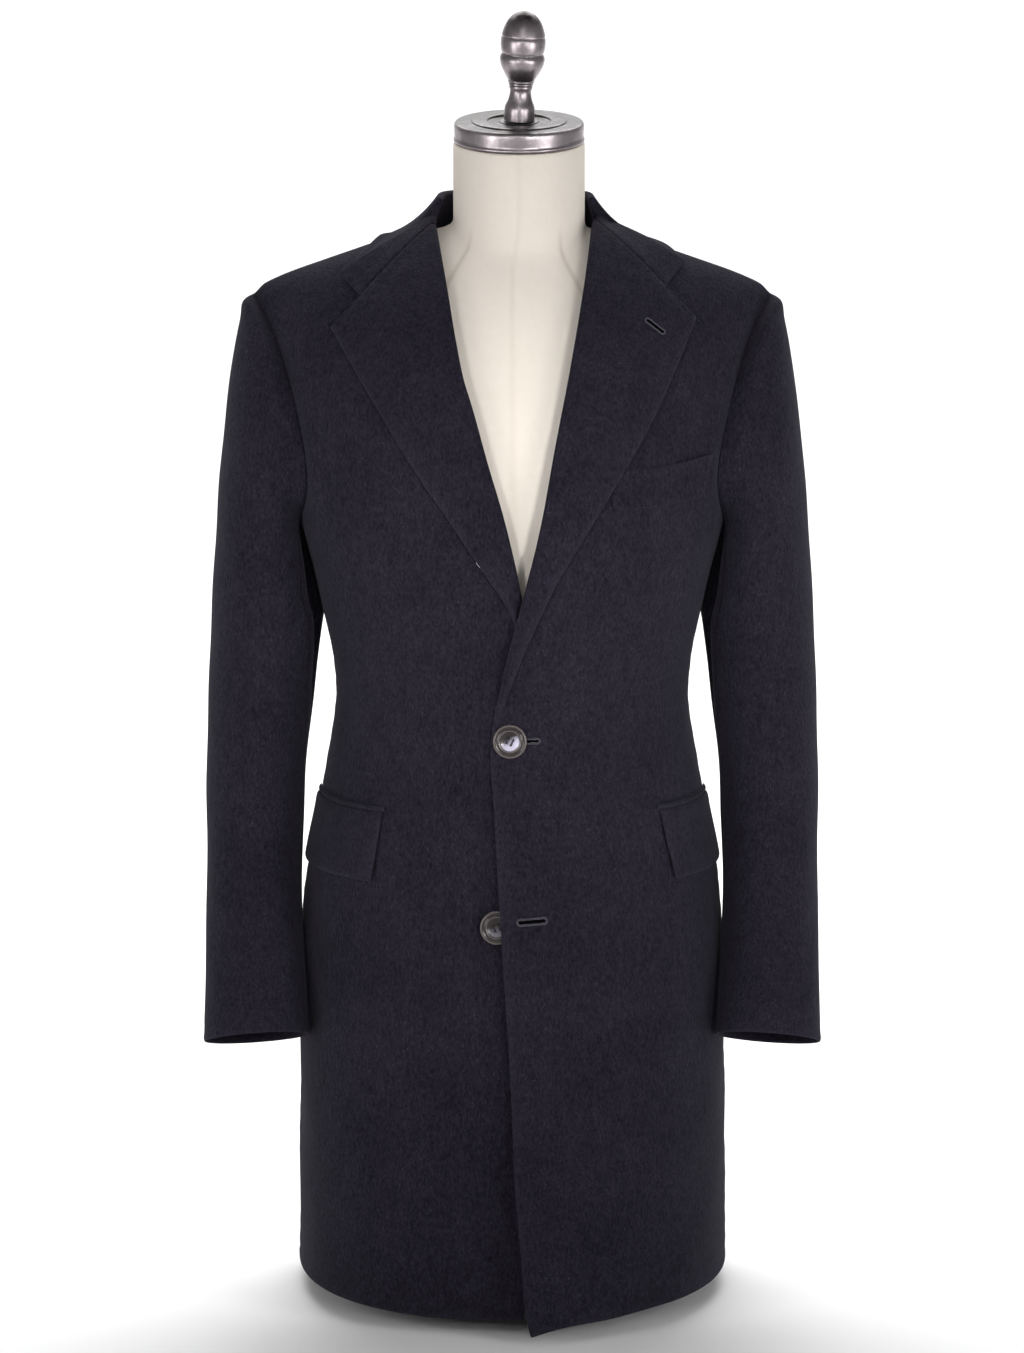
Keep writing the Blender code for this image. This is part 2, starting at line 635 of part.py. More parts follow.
def pocket_strip(side, top, bottom, x_top, x_bottom, rows, columns):
    """(x, z) of a level strip from its front edge round to the side seam."""
    down = np.linspace(0, 1, rows + 1)[:, None]
    share = np.linspace(0, 1, columns + 1)[None, :]
    z = top + (bottom - top) * down + 0 * share
    level = level_at(0.1, z)
    start = angle_at(x_top + (x_bottom - x_top) * down, level)
    angle = start + (FLAP_END - start) * share
    return half_width(level) * power(np.sin(angle), 2 / ROUNDNESS), z, down, share


def make_pockets():
    for side in ("left", "right"):
        x_top, x_bottom = FLAP_FRONTS[side]
        x, z, down, share = pocket_strip(side, FLAP_TOP, FLAP_BOTTOM, x_top, x_bottom, 4, 8)
        stand_off = 0.0006 + 0.0030 * down**1.5 * (1 - 0.85 * share)
        patch(f"{side}_flap", side, x, z, FLAP_CLOTH + stand_off, FLAP_CLOTH)
        top, bottom = FLAP_TOP + SEAM + JET_HEIGHT, FLAP_TOP + SEAM
        x, z, _, _ = pocket_strip(side, top, bottom, x_top - 0.0025, x_top - 0.0025, 1, 8)
        patch(f"{side}_jet", side, x, z, CLOTH + ON_TOP, CLOTH)
    across = np.linspace(0, 1, 7)
    stations = [Welt(*row) for row in zip(*[np.interp(across, (0, 0.45, 1), column) for column in zip(*WELT)])]
    up = np.linspace(0, 1, 3)[:, None]
    x = np.array([s.x_bottom for s in stations]) * (1 - up) + np.array([s.x_top for s in stations]) * up
    z = np.array([s.z_bottom for s in stations]) * (1 - up) + np.array([s.z_top for s in stations]) * up
    patch("breast_welt", "left", x, z, np.full(x.shape, WELT_CLOTH + ON_TOP), WELT_CLOTH)


# ---------------------------------------------------------------- buttons
BUTTON_PROFILE = (  # radius and height above the button's back, from the middle of its face
    (0.0000, 0.0026), (0.0052, 0.0027), (0.0082, 0.0032), (0.0096, 0.0041), (0.0107, 0.0042),
    (0.0116, 0.0037), (0.0126, 0.0041), (0.0138, 0.0041), (0.0148, 0.0031), (0.0150, 0.0022),
    (0.0138, 0.0008), (0.0080, 0.0000), (0.0000, 0.0000),
)
HOLE_RADIUS, HOLE_SPREAD = 0.0012, 0.0023


def make_button(name, side, place, gap):
    """A four-hole horn button that faces out from the front it lies on."""
    x = place.x if side == "left" else -place.x
    seat, normal = on_front(side, np.array(x), np.array(place.z), gap)
    seat, normal = mirrored(side, seat), mirrored(side, normal)
    lean = math.atan2(normal[2], -normal[1])
    body = turned(name, BUTTON_PROFILE, "horn", 24, seat, math.radians(90) - lean)
    body.rotation_euler = (math.radians(90) - lean, 0, math.atan2(normal[0], -normal[1]))
    holes = bmesh.new()
    for x, y in ((1, 1), (1, -1), (-1, 1), (-1, -1)):
        made = bmesh.ops.create_cone(
            holes, cap_ends=True, segments=8, radius1=HOLE_RADIUS, radius2=HOLE_RADIUS, depth=0.02
        )
        bmesh.ops.translate(holes, verts=made["verts"], vec=(x * HOLE_SPREAD, y * HOLE_SPREAD, 0))
    mesh = bpy.data.meshes.new(f"{name}_holes")
    holes.to_mesh(mesh)
    holes.free()
    cutter = bpy.data.objects.new(f"{name}_holes", mesh)
    bpy.data.collections["cutters"].objects.link(cutter)
    cutter.hide_render, cutter.display_type = True, "WIRE"
    cutter.location, cutter.rotation_euler = body.location, body.rotation_euler
    cut = body.modifiers.new("holes", "BOOLEAN")
    cut.operation, cut.object = "DIFFERENCE", cutter


# ---------------------------------------------------------------- the dress form
def inside_coat(x, y, z, side_room, top_room):
    """True where a point lies inside the coat with room to spare at the sides and above."""
    level = level_at(x, z + top_room)
    width, at = half_width(level), torso(0.0, level)
    behind = torso(math.pi, level)[..., 1]
    middle = along(SECTIONS, "middle", np.minimum(z, ARMPIT))
    depth = np.where(y < middle, middle - at[..., 1], behind - middle) - side_room
    reach = np.abs(y - middle) / np.maximum(depth, 1e-4)
    spread = np.abs(x) / (width - side_room)
    return (reach**ROUNDNESS + spread**ROUNDNESS < 1) & (np.abs(x) < 0.180) & (level < 2)


def form_ring(z):
    """One level ring of the form: the torso, eased into the round neck."""
    turn = 2 * math.pi * np.arange(FORM_ROUND) / FORM_ROUND
    neck_y = 0.0031
    low, high = np.zeros(FORM_ROUND), np.full(FORM_ROUND, 0.3)
    for _ in range(40):
        reach = (low + high) / 2
        inside = inside_coat(reach * np.sin(turn), neck_y - reach * np.cos(turn), z, 0.013, 0.0064)
        low, high = np.where(inside, reach, low), np.where(inside, high, reach)
    neck = NECK_RADIUS + NECK_SHIFT * np.sin(turn) if z > 0.90 else 0.0 * turn
    blend = 12 if z > 0.90 else 1
    radius = (low**blend + neck**blend) ** (1 / blend)
    return np.stack([radius * np.sin(turn), neck_y - radius * np.cos(turn), z + 0 * turn], axis=-1)


def make_form():
    rings = [form_ring(z) for z in FORM_RINGS]
    rings[0] = rings[0] * np.array([0.94, 0.94, 1])
    turn = 2 * math.pi * np.arange(FORM_ROUND) / FORM_ROUND
    top = np.stack([NECK_RADIUS * np.sin(turn), -NECK_RADIUS * np.cos(turn) * math.cos(LEAN)], axis=-1)
    cap_floor = CAP_TOP - CAP_HEIGHT * math.cos(LEAN) - 0.0004
    height = cap_floor + NECK_RADIUS * np.cos(turn) * -math.sin(LEAN)
    rings.append(np.stack([top[:, 0] + NECK_SHIFT, top[:, 1] + 0.0031, height], axis=-1))
    points = np.array(rings)
    count = len(rings)
    mesh = bpy.data.meshes.new("form_body")
    index = np.arange(count * FORM_ROUND).reshape(count, FORM_ROUND)
    after = np.roll(index, -1, axis=1)
    quads = np.stack([index[:-1], after[:-1], after[1:], index[1:]], axis=-1).reshape(-1, 4)
    mesh.from_pydata(points.reshape(-1, 3), [], quads.tolist() + [index[0, ::-1].tolist(), index[-1].tolist()])
    tidy = bmesh.new()
    tidy.from_mesh(mesh)
    bmesh.ops.recalc_face_normals(tidy, faces=tidy.faces)
    tidy.to_mesh(mesh)
    tidy.free()
    add_object("form_body", mesh, "canvas")

    cap = (
        (0.0000, 0.0000), (0.0170, 0.0000), (0.0180, -0.0008), (0.0280, -0.0008), (0.0290, 0.0006),
        (0.0420, 0.0006), (0.0430, -0.0004), (0.0545, -0.0004), (0.0575, -0.0016), (0.0583, -0.0040),
        (0.0578, -0.0150), (0.0585, -0.0155), (0.0583, -0.0178), (0.0560, -0.0180), (0.0000, -0.0180),
    )
    top_centre = (NECK_SHIFT, 0.0, CAP_TOP)
    turned("neck_cap", cap, "pewter", 40, top_centre, LEAN)
    finial = (
        (0.0000, 0.0985), (0.0080, 0.0968), (0.0135, 0.0925), (0.0172, 0.0860), (0.0182, 0.0790),
        (0.0174, 0.0778), (0.0196, 0.0755), (0.0201, 0.0710), (0.0190, 0.0650), (0.0168, 0.0625),
        (0.0168, 0.0608), (0.0198, 0.0590), (0.0202, 0.0555), (0.0188, 0.0490), (0.0150, 0.0420),
        (0.0112, 0.0375), (0.0120, 0.0362), (0.0120, 0.0340), (0.0100, 0.0325), (0.0094, 0.0255),
        (0.0104, 0.0195), (0.0140, 0.0170), (0.0140, 0.0050), (0.0160, 0.0030), (0.0160, 0.0009),
        (0.0000, 0.0009),
    )
    turned("finial", finial, "pewter", 24, top_centre, LEAN, math.radians(3))
    pole_top, pole_foot = FORM_RINGS[0] - SEAM, BASE_HEIGHT + SEAM
    turned(
        "pole",
        ((0, pole_top), (POLE_RADIUS, pole_top), (POLE_RADIUS, pole_foot), (0, pole_foot)),
        "pewter",
        24,
    )
    base = (
        (0, BASE_HEIGHT), (0.024, BASE_HEIGHT), (0.110, 0.0085), (0.121, 0.0065), (BASE_RADIUS, 0.0030),
        (BASE_RADIUS, 0.0), (0, 0),
    )
    turned("stand_base", base, "pewter", 40)


def main():
    for item in list(bpy.data.objects):
        bpy.data.objects.remove(item, do_unlink=True)
    for name in ("wool_overcoat", "cutters"):
        bpy.context.scene.collection.children.link(bpy.data.collections.new(name))
    make_body()
    make_lapels_and_collar()
    make_pockets()
    make_button("waist_button", "left", WAIST_BUTTON, 3 * ON_TOP)
    make_button("lower_button", "right", LOWER_BUTTON, ON_TOP)
    make_form()


main()
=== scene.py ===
"""The looks of a single-breasted wool overcoat with notch lapels, worn by a canvas dress form.

Metres, +Z up, the front of the coat towards -Y and the wearer's left towards +X, as in the part itself.
"""

import math
from collections import namedtuple
from functools import lru_cache

import bmesh
import bpy
import numpy as np
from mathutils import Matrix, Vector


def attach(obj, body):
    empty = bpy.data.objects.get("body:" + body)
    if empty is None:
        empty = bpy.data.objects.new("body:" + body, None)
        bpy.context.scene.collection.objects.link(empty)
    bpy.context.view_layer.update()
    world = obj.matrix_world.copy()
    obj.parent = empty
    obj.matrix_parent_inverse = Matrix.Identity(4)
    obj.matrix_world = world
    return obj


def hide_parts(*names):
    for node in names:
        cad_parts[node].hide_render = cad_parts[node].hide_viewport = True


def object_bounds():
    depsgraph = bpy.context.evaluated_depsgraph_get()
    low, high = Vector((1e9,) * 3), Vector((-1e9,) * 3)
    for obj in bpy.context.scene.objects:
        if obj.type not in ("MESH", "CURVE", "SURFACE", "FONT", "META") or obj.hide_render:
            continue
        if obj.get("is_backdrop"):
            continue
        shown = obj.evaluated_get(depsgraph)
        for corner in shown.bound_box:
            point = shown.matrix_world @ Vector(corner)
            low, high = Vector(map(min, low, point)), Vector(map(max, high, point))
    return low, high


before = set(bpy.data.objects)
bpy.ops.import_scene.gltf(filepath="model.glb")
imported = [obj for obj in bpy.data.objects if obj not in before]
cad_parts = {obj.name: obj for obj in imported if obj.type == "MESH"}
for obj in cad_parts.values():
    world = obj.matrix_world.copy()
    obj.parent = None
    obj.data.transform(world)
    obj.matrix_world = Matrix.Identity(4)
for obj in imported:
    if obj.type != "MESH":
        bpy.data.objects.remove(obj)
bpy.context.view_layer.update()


# ---------------------------------------------------------------- the studio
# A pale floor that sweeps up into a pale wall far behind, with soft white light from all round and a large
# soft light high up in front. The camera stands at chest height and looks slightly down.
def select_none():
    for item in bpy.context.selected_objects:
        item.select_set(False)


def start_shape(add, name, **how):
    """A Blender primitive as the start of a piece, selected alone and named."""
    select_none()
    add(**how)
    made = bpy.context.object
    made.name = made.data.name = name
    return made


def edit(made):
    """Starts edit mode on one piece with nothing of it selected, and returns its editable mesh."""
    bpy.context.view_layer.objects.active = made
    bpy.ops.object.mode_set(mode="EDIT")
    bpy.ops.mesh.select_mode(type="FACE")
    bpy.ops.mesh.select_all(action="DESELECT")
    return bmesh.from_edit_mesh(made.data)


def pick(shape, made, parts, wanted):
    """Selects the faces, edges or points of an open mesh for which wanted(part) is true."""
    for part in parts:
        part.select_set(bool(wanted(part)))
    shape.select_flush_mode()
    bmesh.update_edit_mesh(made.data)


class Tone:
    """A value in a finish. Sums and products of tones become Math nodes."""

    def __init__(self, finish, socket):
        self.finish, self.socket = finish, socket

    def maths(self, operation, *values):
        return self.finish.node("ShaderNodeMath", {"operation": operation}, dict(enumerate(values)))

    def __add__(self, other):
        return self.maths("ADD", self, other)

    def __sub__(self, other):
        return self.maths("SUBTRACT", self, other)

    def __rsub__(self, other):
        return self.maths("SUBTRACT", other, self)

    def __mul__(self, other):
        return self.maths("MULTIPLY", self, other)

    __radd__, __rmul__ = __add__, __mul__

    def kept(self, low=0.0, high=1.0):
        """The tone held between two limits."""
        return self.maths("MINIMUM", self.maths("MAXIMUM", self, low), high)

    def between(self, low, high):
        """0 below one value of the tone, 1 above another, and smooth from one to the other."""
        settings = {"interpolation_type": "SMOOTHSTEP"}
        return self.finish.node("ShaderNodeMapRange", settings, {0: self, 1: low, 2: high})


class Finish:
    """A material on one Principled shader, whose values are written as sums of tones."""

    def __init__(self, name, **constants):
        self.material = bpy.data.materials.new(name)
        self.material.use_nodes = True
        self.tree = self.material.node_tree
        self.shader = self.tree.nodes["Principled BSDF"]
        for socket, value in constants.items():
            self.shader.inputs[socket.replace("_", " ")].default_value = value

    def node(self, kind, settings=None, values=None, out=0):
        """A node of one type: its settings are set first, then its sockets get their values or links."""
        made = self.tree.nodes.new(kind)
        for setting, value in (settings or {}).items():
            setattr(made, setting, value)
        for socket, value in (values or {}).items():
            if isinstance(value, Tone):
                self.tree.links.new(value.socket, made.inputs[socket])
            else:
                made.inputs[socket].default_value = value
        return Tone(self, made.outputs[out])

    def place(self, stretch=(1, 1, 1)):
        """The point on the piece in its own metres, scaled along each direction."""
        point = self.node("ShaderNodeTexCoord", out="Object")
        return self.node("ShaderNodeVectorMath", {"operation": "MULTIPLY"}, {0: point, 1: stretch})

    def noise(self, place, scale, detail=2.0, roughness=0.5):
        values = {"Vector": place, "Scale": scale, "Detail": detail, "Roughness": roughness}
        return self.node("ShaderNodeTexNoise", None, values)

    def marked(self, label):
        """The value that the piece's own points carry under a label."""
        return self.node("ShaderNodeAttribute", {"attribute_name": label}, out="Fac")

    def part_of(self, point, axis):
        """One of the three numbers of a point: 0, 1 or 2."""
        return self.node("ShaderNodeSeparateXYZ", None, {0: point}, axis)

    def mix(self, share, first, second):
        """A colour that goes from the first to the second as the share goes from 0 to 1."""
        return self.node("ShaderNodeMix", {"data_type": "RGBA"}, {0: share, 6: first, 7: second}, 2)

    def give(self, **values):
        for socket, value in values.items():
            self.tree.links.new(value.socket, self.shader.inputs[socket.replace("_", " ")])

    def relief(self, height, distance, under=None):
        """A Normal that follows a height, in metres for a height of 1, on top of another relief."""
        values = {"Height": height, "Strength": 1.0, "Distance": distance}
        if under:
            values["Normal"] = under
        return self.node("ShaderNodeBump", None, values)


def wear(made, finish):
    """Gives a piece its finish."""
    made.data.materials.clear()
    made.data.materials.append(finish.material)


floor = start_shape(bpy.ops.mesh.primitive_plane_add, "studio_floor", size=1, location=(0, 0, 0))
shape = edit(floor)
pick(shape, floor, shape.verts, lambda v: True)
bpy.ops.transform.resize(value=(24, 24, 1))
bpy.ops.transform.translate(value=(0, -2, 0))
shape = bmesh.from_edit_mesh(floor.data)
bpy.ops.mesh.select_mode(type="EDGE")
pick(shape, floor, shape.edges, lambda e: all(v.co.y > 9 for v in e.verts))
bpy.ops.mesh.extrude_region_move(TRANSFORM_OT_translate={"value": (0, 0, 14)})
shape = bmesh.from_edit_mesh(floor.data)
pick(shape, floor, shape.edges, lambda e: all(v.co.y > 9 and abs(v.co.z) < 0.01 for v in e.verts))
bpy.ops.mesh.bevel(offset=4, segments=16, affect="EDGES")
bpy.ops.object.mode_set(mode="OBJECT")
bpy.ops.object.shade_smooth()
chalk = Finish("pale_floor", Roughness=0.9, Specular_IOR_Level=0.1)
chalk.give(Base_Color=chalk.mix(chalk.noise(chalk.place(), 0.8), (0.90, 0.90, 0.90, 1), (0.93, 0.93, 0.93, 1)))
wear(floor, chalk)
floor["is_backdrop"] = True

studio = bpy.data.worlds.new("studio")
bpy.context.scene.world = studio
studio.use_nodes = True
studio.node_tree.nodes["Background"].inputs[0].default_value = (1.0, 1.0, 1.0, 1)
studio.node_tree.nodes["Background"].inputs[1].default_value = 0.25
bpy.context.scene.view_settings.view_transform = "Standard"


def softbox(name, place, aim, size, watts, beam=180):
    lamp = bpy.data.lights.new(name, "AREA")
    lamp.shape, lamp.size, lamp.size_y, lamp.energy = "RECTANGLE", *size, watts
    lamp.spread = math.radians(beam)
    made = bpy.data.objects.new(name, lamp)
    bpy.context.scene.collection.objects.link(made)
    made.location = place
    away = np.array(aim, float) - np.array(place, float)
    made.rotation_euler = (math.atan2(math.hypot(away[0], away[1]), -away[2]), 0, math.atan2(-away[0], away[1]))


softbox("front_light", (-0.1, -3.0, 1.9), (0, 0, 0.85), (1.2, 1.0), 6)
softbox("left_light", (-1.20, -1.05, 0.70), (0, 0, 0.64), (0.5, 0.6), 5.6)
softbox("right_light", (1.20, -1.05, 0.70), (0, 0, 0.64), (0.5, 0.6), 6.6)
softbox("left_spot", (-0.75, -1.9, 0.80), (-0.06, 0, 0.65), (0.35, 0.35), 0.55, 38)
softbox("right_spot", (0.75, -1.9, 0.80), (0.06, 0, 0.65), (0.35, 0.35), 0.85, 38)
softbox("floor_light", (0, 1.6, 2.7), (0, 1.0, 0), (3.0, 1.8), 74, 140)
softbox("left_backdrop_light", (-3.0, 3.2, 3.6), (-1.0, 10, 1.5), (3.0, 3.0), 270)
softbox("right_backdrop_light", (3.0, 3.2, 3.6), (1.0, 10, 1.5), (3.0, 3.0), 270)

lens = bpy.data.cameras.new("camera")
lens.lens, lens.sensor_width = 118.24, 36
camera = bpy.data.objects.new("camera", lens)
bpy.context.scene.collection.objects.link(camera)
camera.location, camera.rotation_euler = (-0.0003, -4.0, 1.167), (math.radians(81.5), 0, 0)
bpy.context.scene.camera = camera


# ---------------------------------------------------------------- fronts and backs
# The body of the coat: two fronts and two backs of thick brushed overcoating, cut close at the waist and
# sewn down the sides, the centre back and the shoulders, with the seams pressed open and the edges turned in.
CLOTH = 0.0024
HEM = 0.016
ARMPIT = 0.710
NECK_POINT = 0.0765
ROUNDNESS = 2.3
ARM_FLARE = 0.050
ROLL = 0.00395
SEAM_ROOM = 0.0004
CREASE_DEPTH, CREASE_REACH = 0.0036, 0.0085


def table(kind, *rows):
    """The rows of a table, each as a named tuple of one kind."""
    return tuple(kind(*row) for row in rows)


Section = namedtuple("Section", "z half_width front back middle")
SECTIONS = table(
    Section,
    (0.016, 0.198, 0.176, 0.168, 0.030), (0.144, 0.197, 0.172, 0.162, 0.028), (0.211, 0.196, 0.169, 0.158, 0.026),
    (0.300, 0.1945, 0.165, 0.152, 0.023), (0.3615, 0.1915, 0.161, 0.145, 0.020),
    (0.410, 0.185, 0.156, 0.136, 0.017), (0.455, 0.176, 0.150, 0.126, 0.014), (0.492, 0.169, 0.144, 0.118, 0.011),
    (0.529, 0.163, 0.140, 0.112, 0.009), (0.556, 0.160, 0.139, 0.110, 0.008), (0.585, 0.162, 0.140, 0.110, 0.007),
    (0.621, 0.169, 0.1435, 0.112, 0.005), (0.665, 0.1785, 0.148, 0.117, 0.003),
    (0.710, 0.190, 0.150, 0.122, 0.000),
)
Armhole = namedtuple("Armhole", "rise x")
ARMHOLE = table(
    Armhole,
    (0.0, 0.190), (0.2, 0.1857), (0.43, 0.1925), (0.6, 0.2010), (0.79, 0.2135), (1.0, 0.2345),
)
Line = namedtuple("Line", "z x")
EDGES = {
    "left": table(
        Line,
        (0.006, 0.0185), (0.030, 0.0115), (0.0666, 0.0083), (0.140, 0.0024), (0.222, -0.0011), (0.346, -0.0086),
        (0.472, -0.0161), (0.5285, -0.0191), (0.566, -0.0143),
    ),
    "right": table(
        Line,
        (0.006, -0.010), (0.20, -0.017), (0.533, -0.0215), (0.600, -0.0180),
    ),
}
CREASES = {
    "left": table(
        Line,
        (0.566, -0.0143), (0.609, -0.0048), (0.667, 0.0102), (0.720, 0.0235), (0.790, 0.0370), (0.848, 0.0486),
        (0.928, 0.0630), (0.978, 0.0706),
    ),
    "right": table(
        Line,
        (0.600, -0.0180), (0.675, -0.0058), (0.729, 0.0072), (0.779, 0.0220), (0.824, 0.0347), (0.849, 0.0425),
        (0.881, 0.0492), (0.927, 0.0575), (0.976, 0.0672),
    ),
}
Lift = namedtuple("Lift", "z out")
OVERLAP = table(
    Lift,
    (0.006, 0.0270), (0.060, 0.0230), (0.150, 0.0165), (0.250, 0.0130), (0.369, 0.0120), (0.440, 0.0070),
    (0.500, 0.0038), (0.540, 0.0034), (0.575, 0.0066), (0.610, 0.0104), (0.680, 0.0105), (0.740, 0.0060),
    (0.800, 0.0010), (0.860, 0.0000),
)
Stand = namedtuple("Stand", "fold_x fold_y fold_z seam_x seam_rise leaf_x leaf_z lift sag")
COLLAR = table(
    Stand,
    (0.0000, 0.0735, 1.0080, 0.0000, 0.850, 0.0000, 0.9460, 0.0050, 0.002),
    (0.0310, 0.0665, 1.0080, 0.0330, 0.872, 0.0440, 0.9450, 0.0050, 0.003),
    (0.0540, 0.0450, 1.0080, 0.0580, 0.925, 0.0830, 0.9480, 0.0048, 0.006),
    (0.0665, 0.0190, 1.0070, 0.0715, 0.972, 0.1080, 0.9580, 0.0044, 0.0095),
    (0.0690, -0.0040, 1.0025, 0.0765, 1.000, 0.1206, 0.9700, 0.0040, 0.0130),
)
# the station before the first is the second one mirrored, so that the collar is smooth across the back
COLLAR_BEFORE = np.array(COLLAR[1]) * np.array([-1, 1, 1, -1, 1, -1, 1, 1, 1])


@lru_cache(maxsize=None)
def column_of(rows, column):
    """One column of a table, with its slopes, against the table's first column."""
    x = np.array([row[0] for row in rows])
    y = np.array([getattr(row, column) for row in rows])
    return x, y, np.gradient(y, x)


def along(rows, column, at):
    """A smooth curve through one column of a table, read at values of the table's first column."""
    x, y, slope = column_of(rows, column)
    at = np.minimum(np.maximum(at, x[0]), x[-1])
    i = np.minimum(np.maximum(np.searchsorted(x, at) - 1, 0), len(x) - 2)
    w = x[i + 1] - x[i]
    t = (at - x[i]) / w
    start = y[i] * (1 + 2 * t) + slope[i] * w * t
    end = y[i + 1] * (3 - 2 * t) - slope[i + 1] * w * (1 - t)
    return start * (1 - t) ** 2 + end * t**2


def between_rows(rows, share, opening):
    """A smooth row between two rows of a table. The opening is the row that would come before the first."""
    table = np.array([list(opening)] + [list(row) for row in rows] + [list(rows[-1])], float)
    i = min(int(share), len(rows) - 2)
    t = share - i
    before, start, end, after = table[i : i + 4]
    slope = ((end - before) / 2, (after - start) / 2)
    blend = (1 + 2 * t) * (1 - t) ** 2 * start + t * t * (3 - 2 * t) * end
    return type(rows[0])(*(blend + t * (1 - t) ** 2 * slope[0] - t * t * (1 - t) * slope[1]))


def smooth(value, low, high):
    t = np.clip((value - low) / (high - low), 0, 1)
    return t * t * (3 - 2 * t)


def power(value, exponent):
    return np.sign(value) * np.abs(value) ** exponent


def unit(vectors):
    return vectors / np.maximum(np.linalg.norm(vectors, axis=-1, keepdims=True), 1e-12)


def mirrored(side, grid):
    return grid * np.array([1 if side == "left" else -1, 1, 1])


def ridge(x):
    """Height of the shoulder line."""
    out = np.abs(x)
    return 0.981 - 0.343 * (out - 0.072) - 1.87 * np.maximum(out - 0.187, 0) ** 2


def rise_of(level):
    return np.clip(level - 1, 0, 1)


def half_width(level):
    z = HEM + np.minimum(level, 1) * (ARMPIT - HEM)
    return along(SECTIONS, "half_width", z) + ARM_FLARE * rise_of(level)


def torso(angle, level):
    """Points of the coat's outer surface. The angle is 0 at the front, and positive to the wearer's left."""
    angle, level = np.broadcast_arrays(np.asarray(angle, float), np.asarray(level, float))
    round_it, rise = np.abs(angle), rise_of(level)
    z = HEM + np.minimum(level, 1) * (ARMPIT - HEM)
    x = np.sign(angle) * half_width(level) * power(np.sin(round_it), 2 / ROUNDNESS)
    middle = along(SECTIONS, "middle", z)
    front = (along(SECTIONS, "front", z) + middle) * (1 - rise**1.8) ** 0.588
    swell = 1 + 0.09 * np.sin(math.pi * rise)
    back = (along(SECTIONS, "back", z) - middle) * swell * (1 - rise**2.8) ** 0.55
    depth = np.where(round_it < math.pi / 2, front, back)
    y = middle - depth * power(np.cos(round_it), 2 / ROUNDNESS)
    z = z + rise * (ridge(x) - ARMPIT)
    z = z + 0.005 * np.sin(round_it) ** 2 * np.clip(1 - level, 0, 1) ** 12
    return np.stack([x, y, z], axis=-1)


def outward(angle, level):
    """The torso's unit normals. On the ridge the front's and the back's are one."""
    step = 1e-3
    level = np.asarray(level, float)
    inside = np.minimum(level, 2 - 2 * step)
    across = torso(angle + step, inside) - torso(angle - step, inside)
    up = torso(angle, inside + step) - torso(angle, inside - step)
    normal = unit(np.cross(across, up))
    flat = normal * np.array([1, 0, 1])
    share = smooth(level, 2 - 6 * step, 2 - step)[..., None]
    return unit(normal * (1 - share) + unit(flat) * share)


def angle_at(x, level, back=False):
    share = np.clip(np.abs(x) / half_width(level), 0, 1)
    turn = np.arcsin(share ** (ROUNDNESS / 2))
    return np.where(np.asarray(x) < 0, -1, 1) * (math.pi - turn if back else turn)


def level_at(x, z):
    low = (z - HEM) / (ARMPIT - HEM)
    high = 1 + (z - ARMPIT) / (ridge(x) - ARMPIT)
    return np.where(z < ARMPIT, low, np.minimum(high, 2))


def overlap(points):
    """How far the left front is moved out, at points of the torso's surface."""
    across = np.clip((points[..., 0] - 0.020) / 0.120, 0, 1)
    fade = 1 - across**2 * (3 - 2 * across)
    return along(OVERLAP, "out", points[..., 2]) * fade * (points[..., 1] < 0)


def on_front(side, x, z, out=0.0, back=False):
    """Points on a front, or on the back, moved out from the cloth, and their normals."""
    level = level_at(x, z)
    angle = angle_at(x, level, back)
    points, normals = torso(angle, level), outward(angle, level)
    if side == "left" and not back:
        out = out + overlap(points)
    return points + normals * np.asarray(out)[..., None], normals


def armhole_angle(level, back=False):
    return np.where(level > 1, angle_at(along(ARMHOLE, "x", rise_of(level)), level, back), math.pi / 2)


def spread(length, count):
    """Shares of a length: close together by both ends, and even between them."""
    close = np.array([0, 0.12, 0.35, 0.7, 1.2, 2.0, 3.2, 4.8]) * 0.001
    length = np.asarray(length, float)[..., None]
    inner = close[-1] + (length - 2 * close[-1]) * np.linspace(0, 1, count)[1:-1]
    ends = np.broadcast_to(close, length.shape[:-1] + close.shape)
    return np.concatenate([ends, inner, (length - ends)[..., ::-1]], axis=-1) / length


def from_edges(grid):
    """Metres along the cloth from each point of a grid to each edge: first and last row, first and last column."""
    down = np.linalg.norm(np.diff(grid, axis=0), axis=2)
    across = np.linalg.norm(np.diff(grid, axis=1), axis=2)
    zero_row, zero_column = np.zeros((1, grid.shape[1])), np.zeros((grid.shape[0], 1))
    first_row = np.concatenate([zero_row, np.cumsum(down, axis=0)])
    last_row = np.concatenate([np.cumsum(down[::-1], axis=0)[::-1], zero_row])
    first_column = np.concatenate([zero_column, np.cumsum(across, axis=1)], axis=1)
    last_column = np.concatenate([np.cumsum(across[:, ::-1], axis=1)[:, ::-1], zero_column], axis=1)
    return first_row, last_row, first_column, last_column


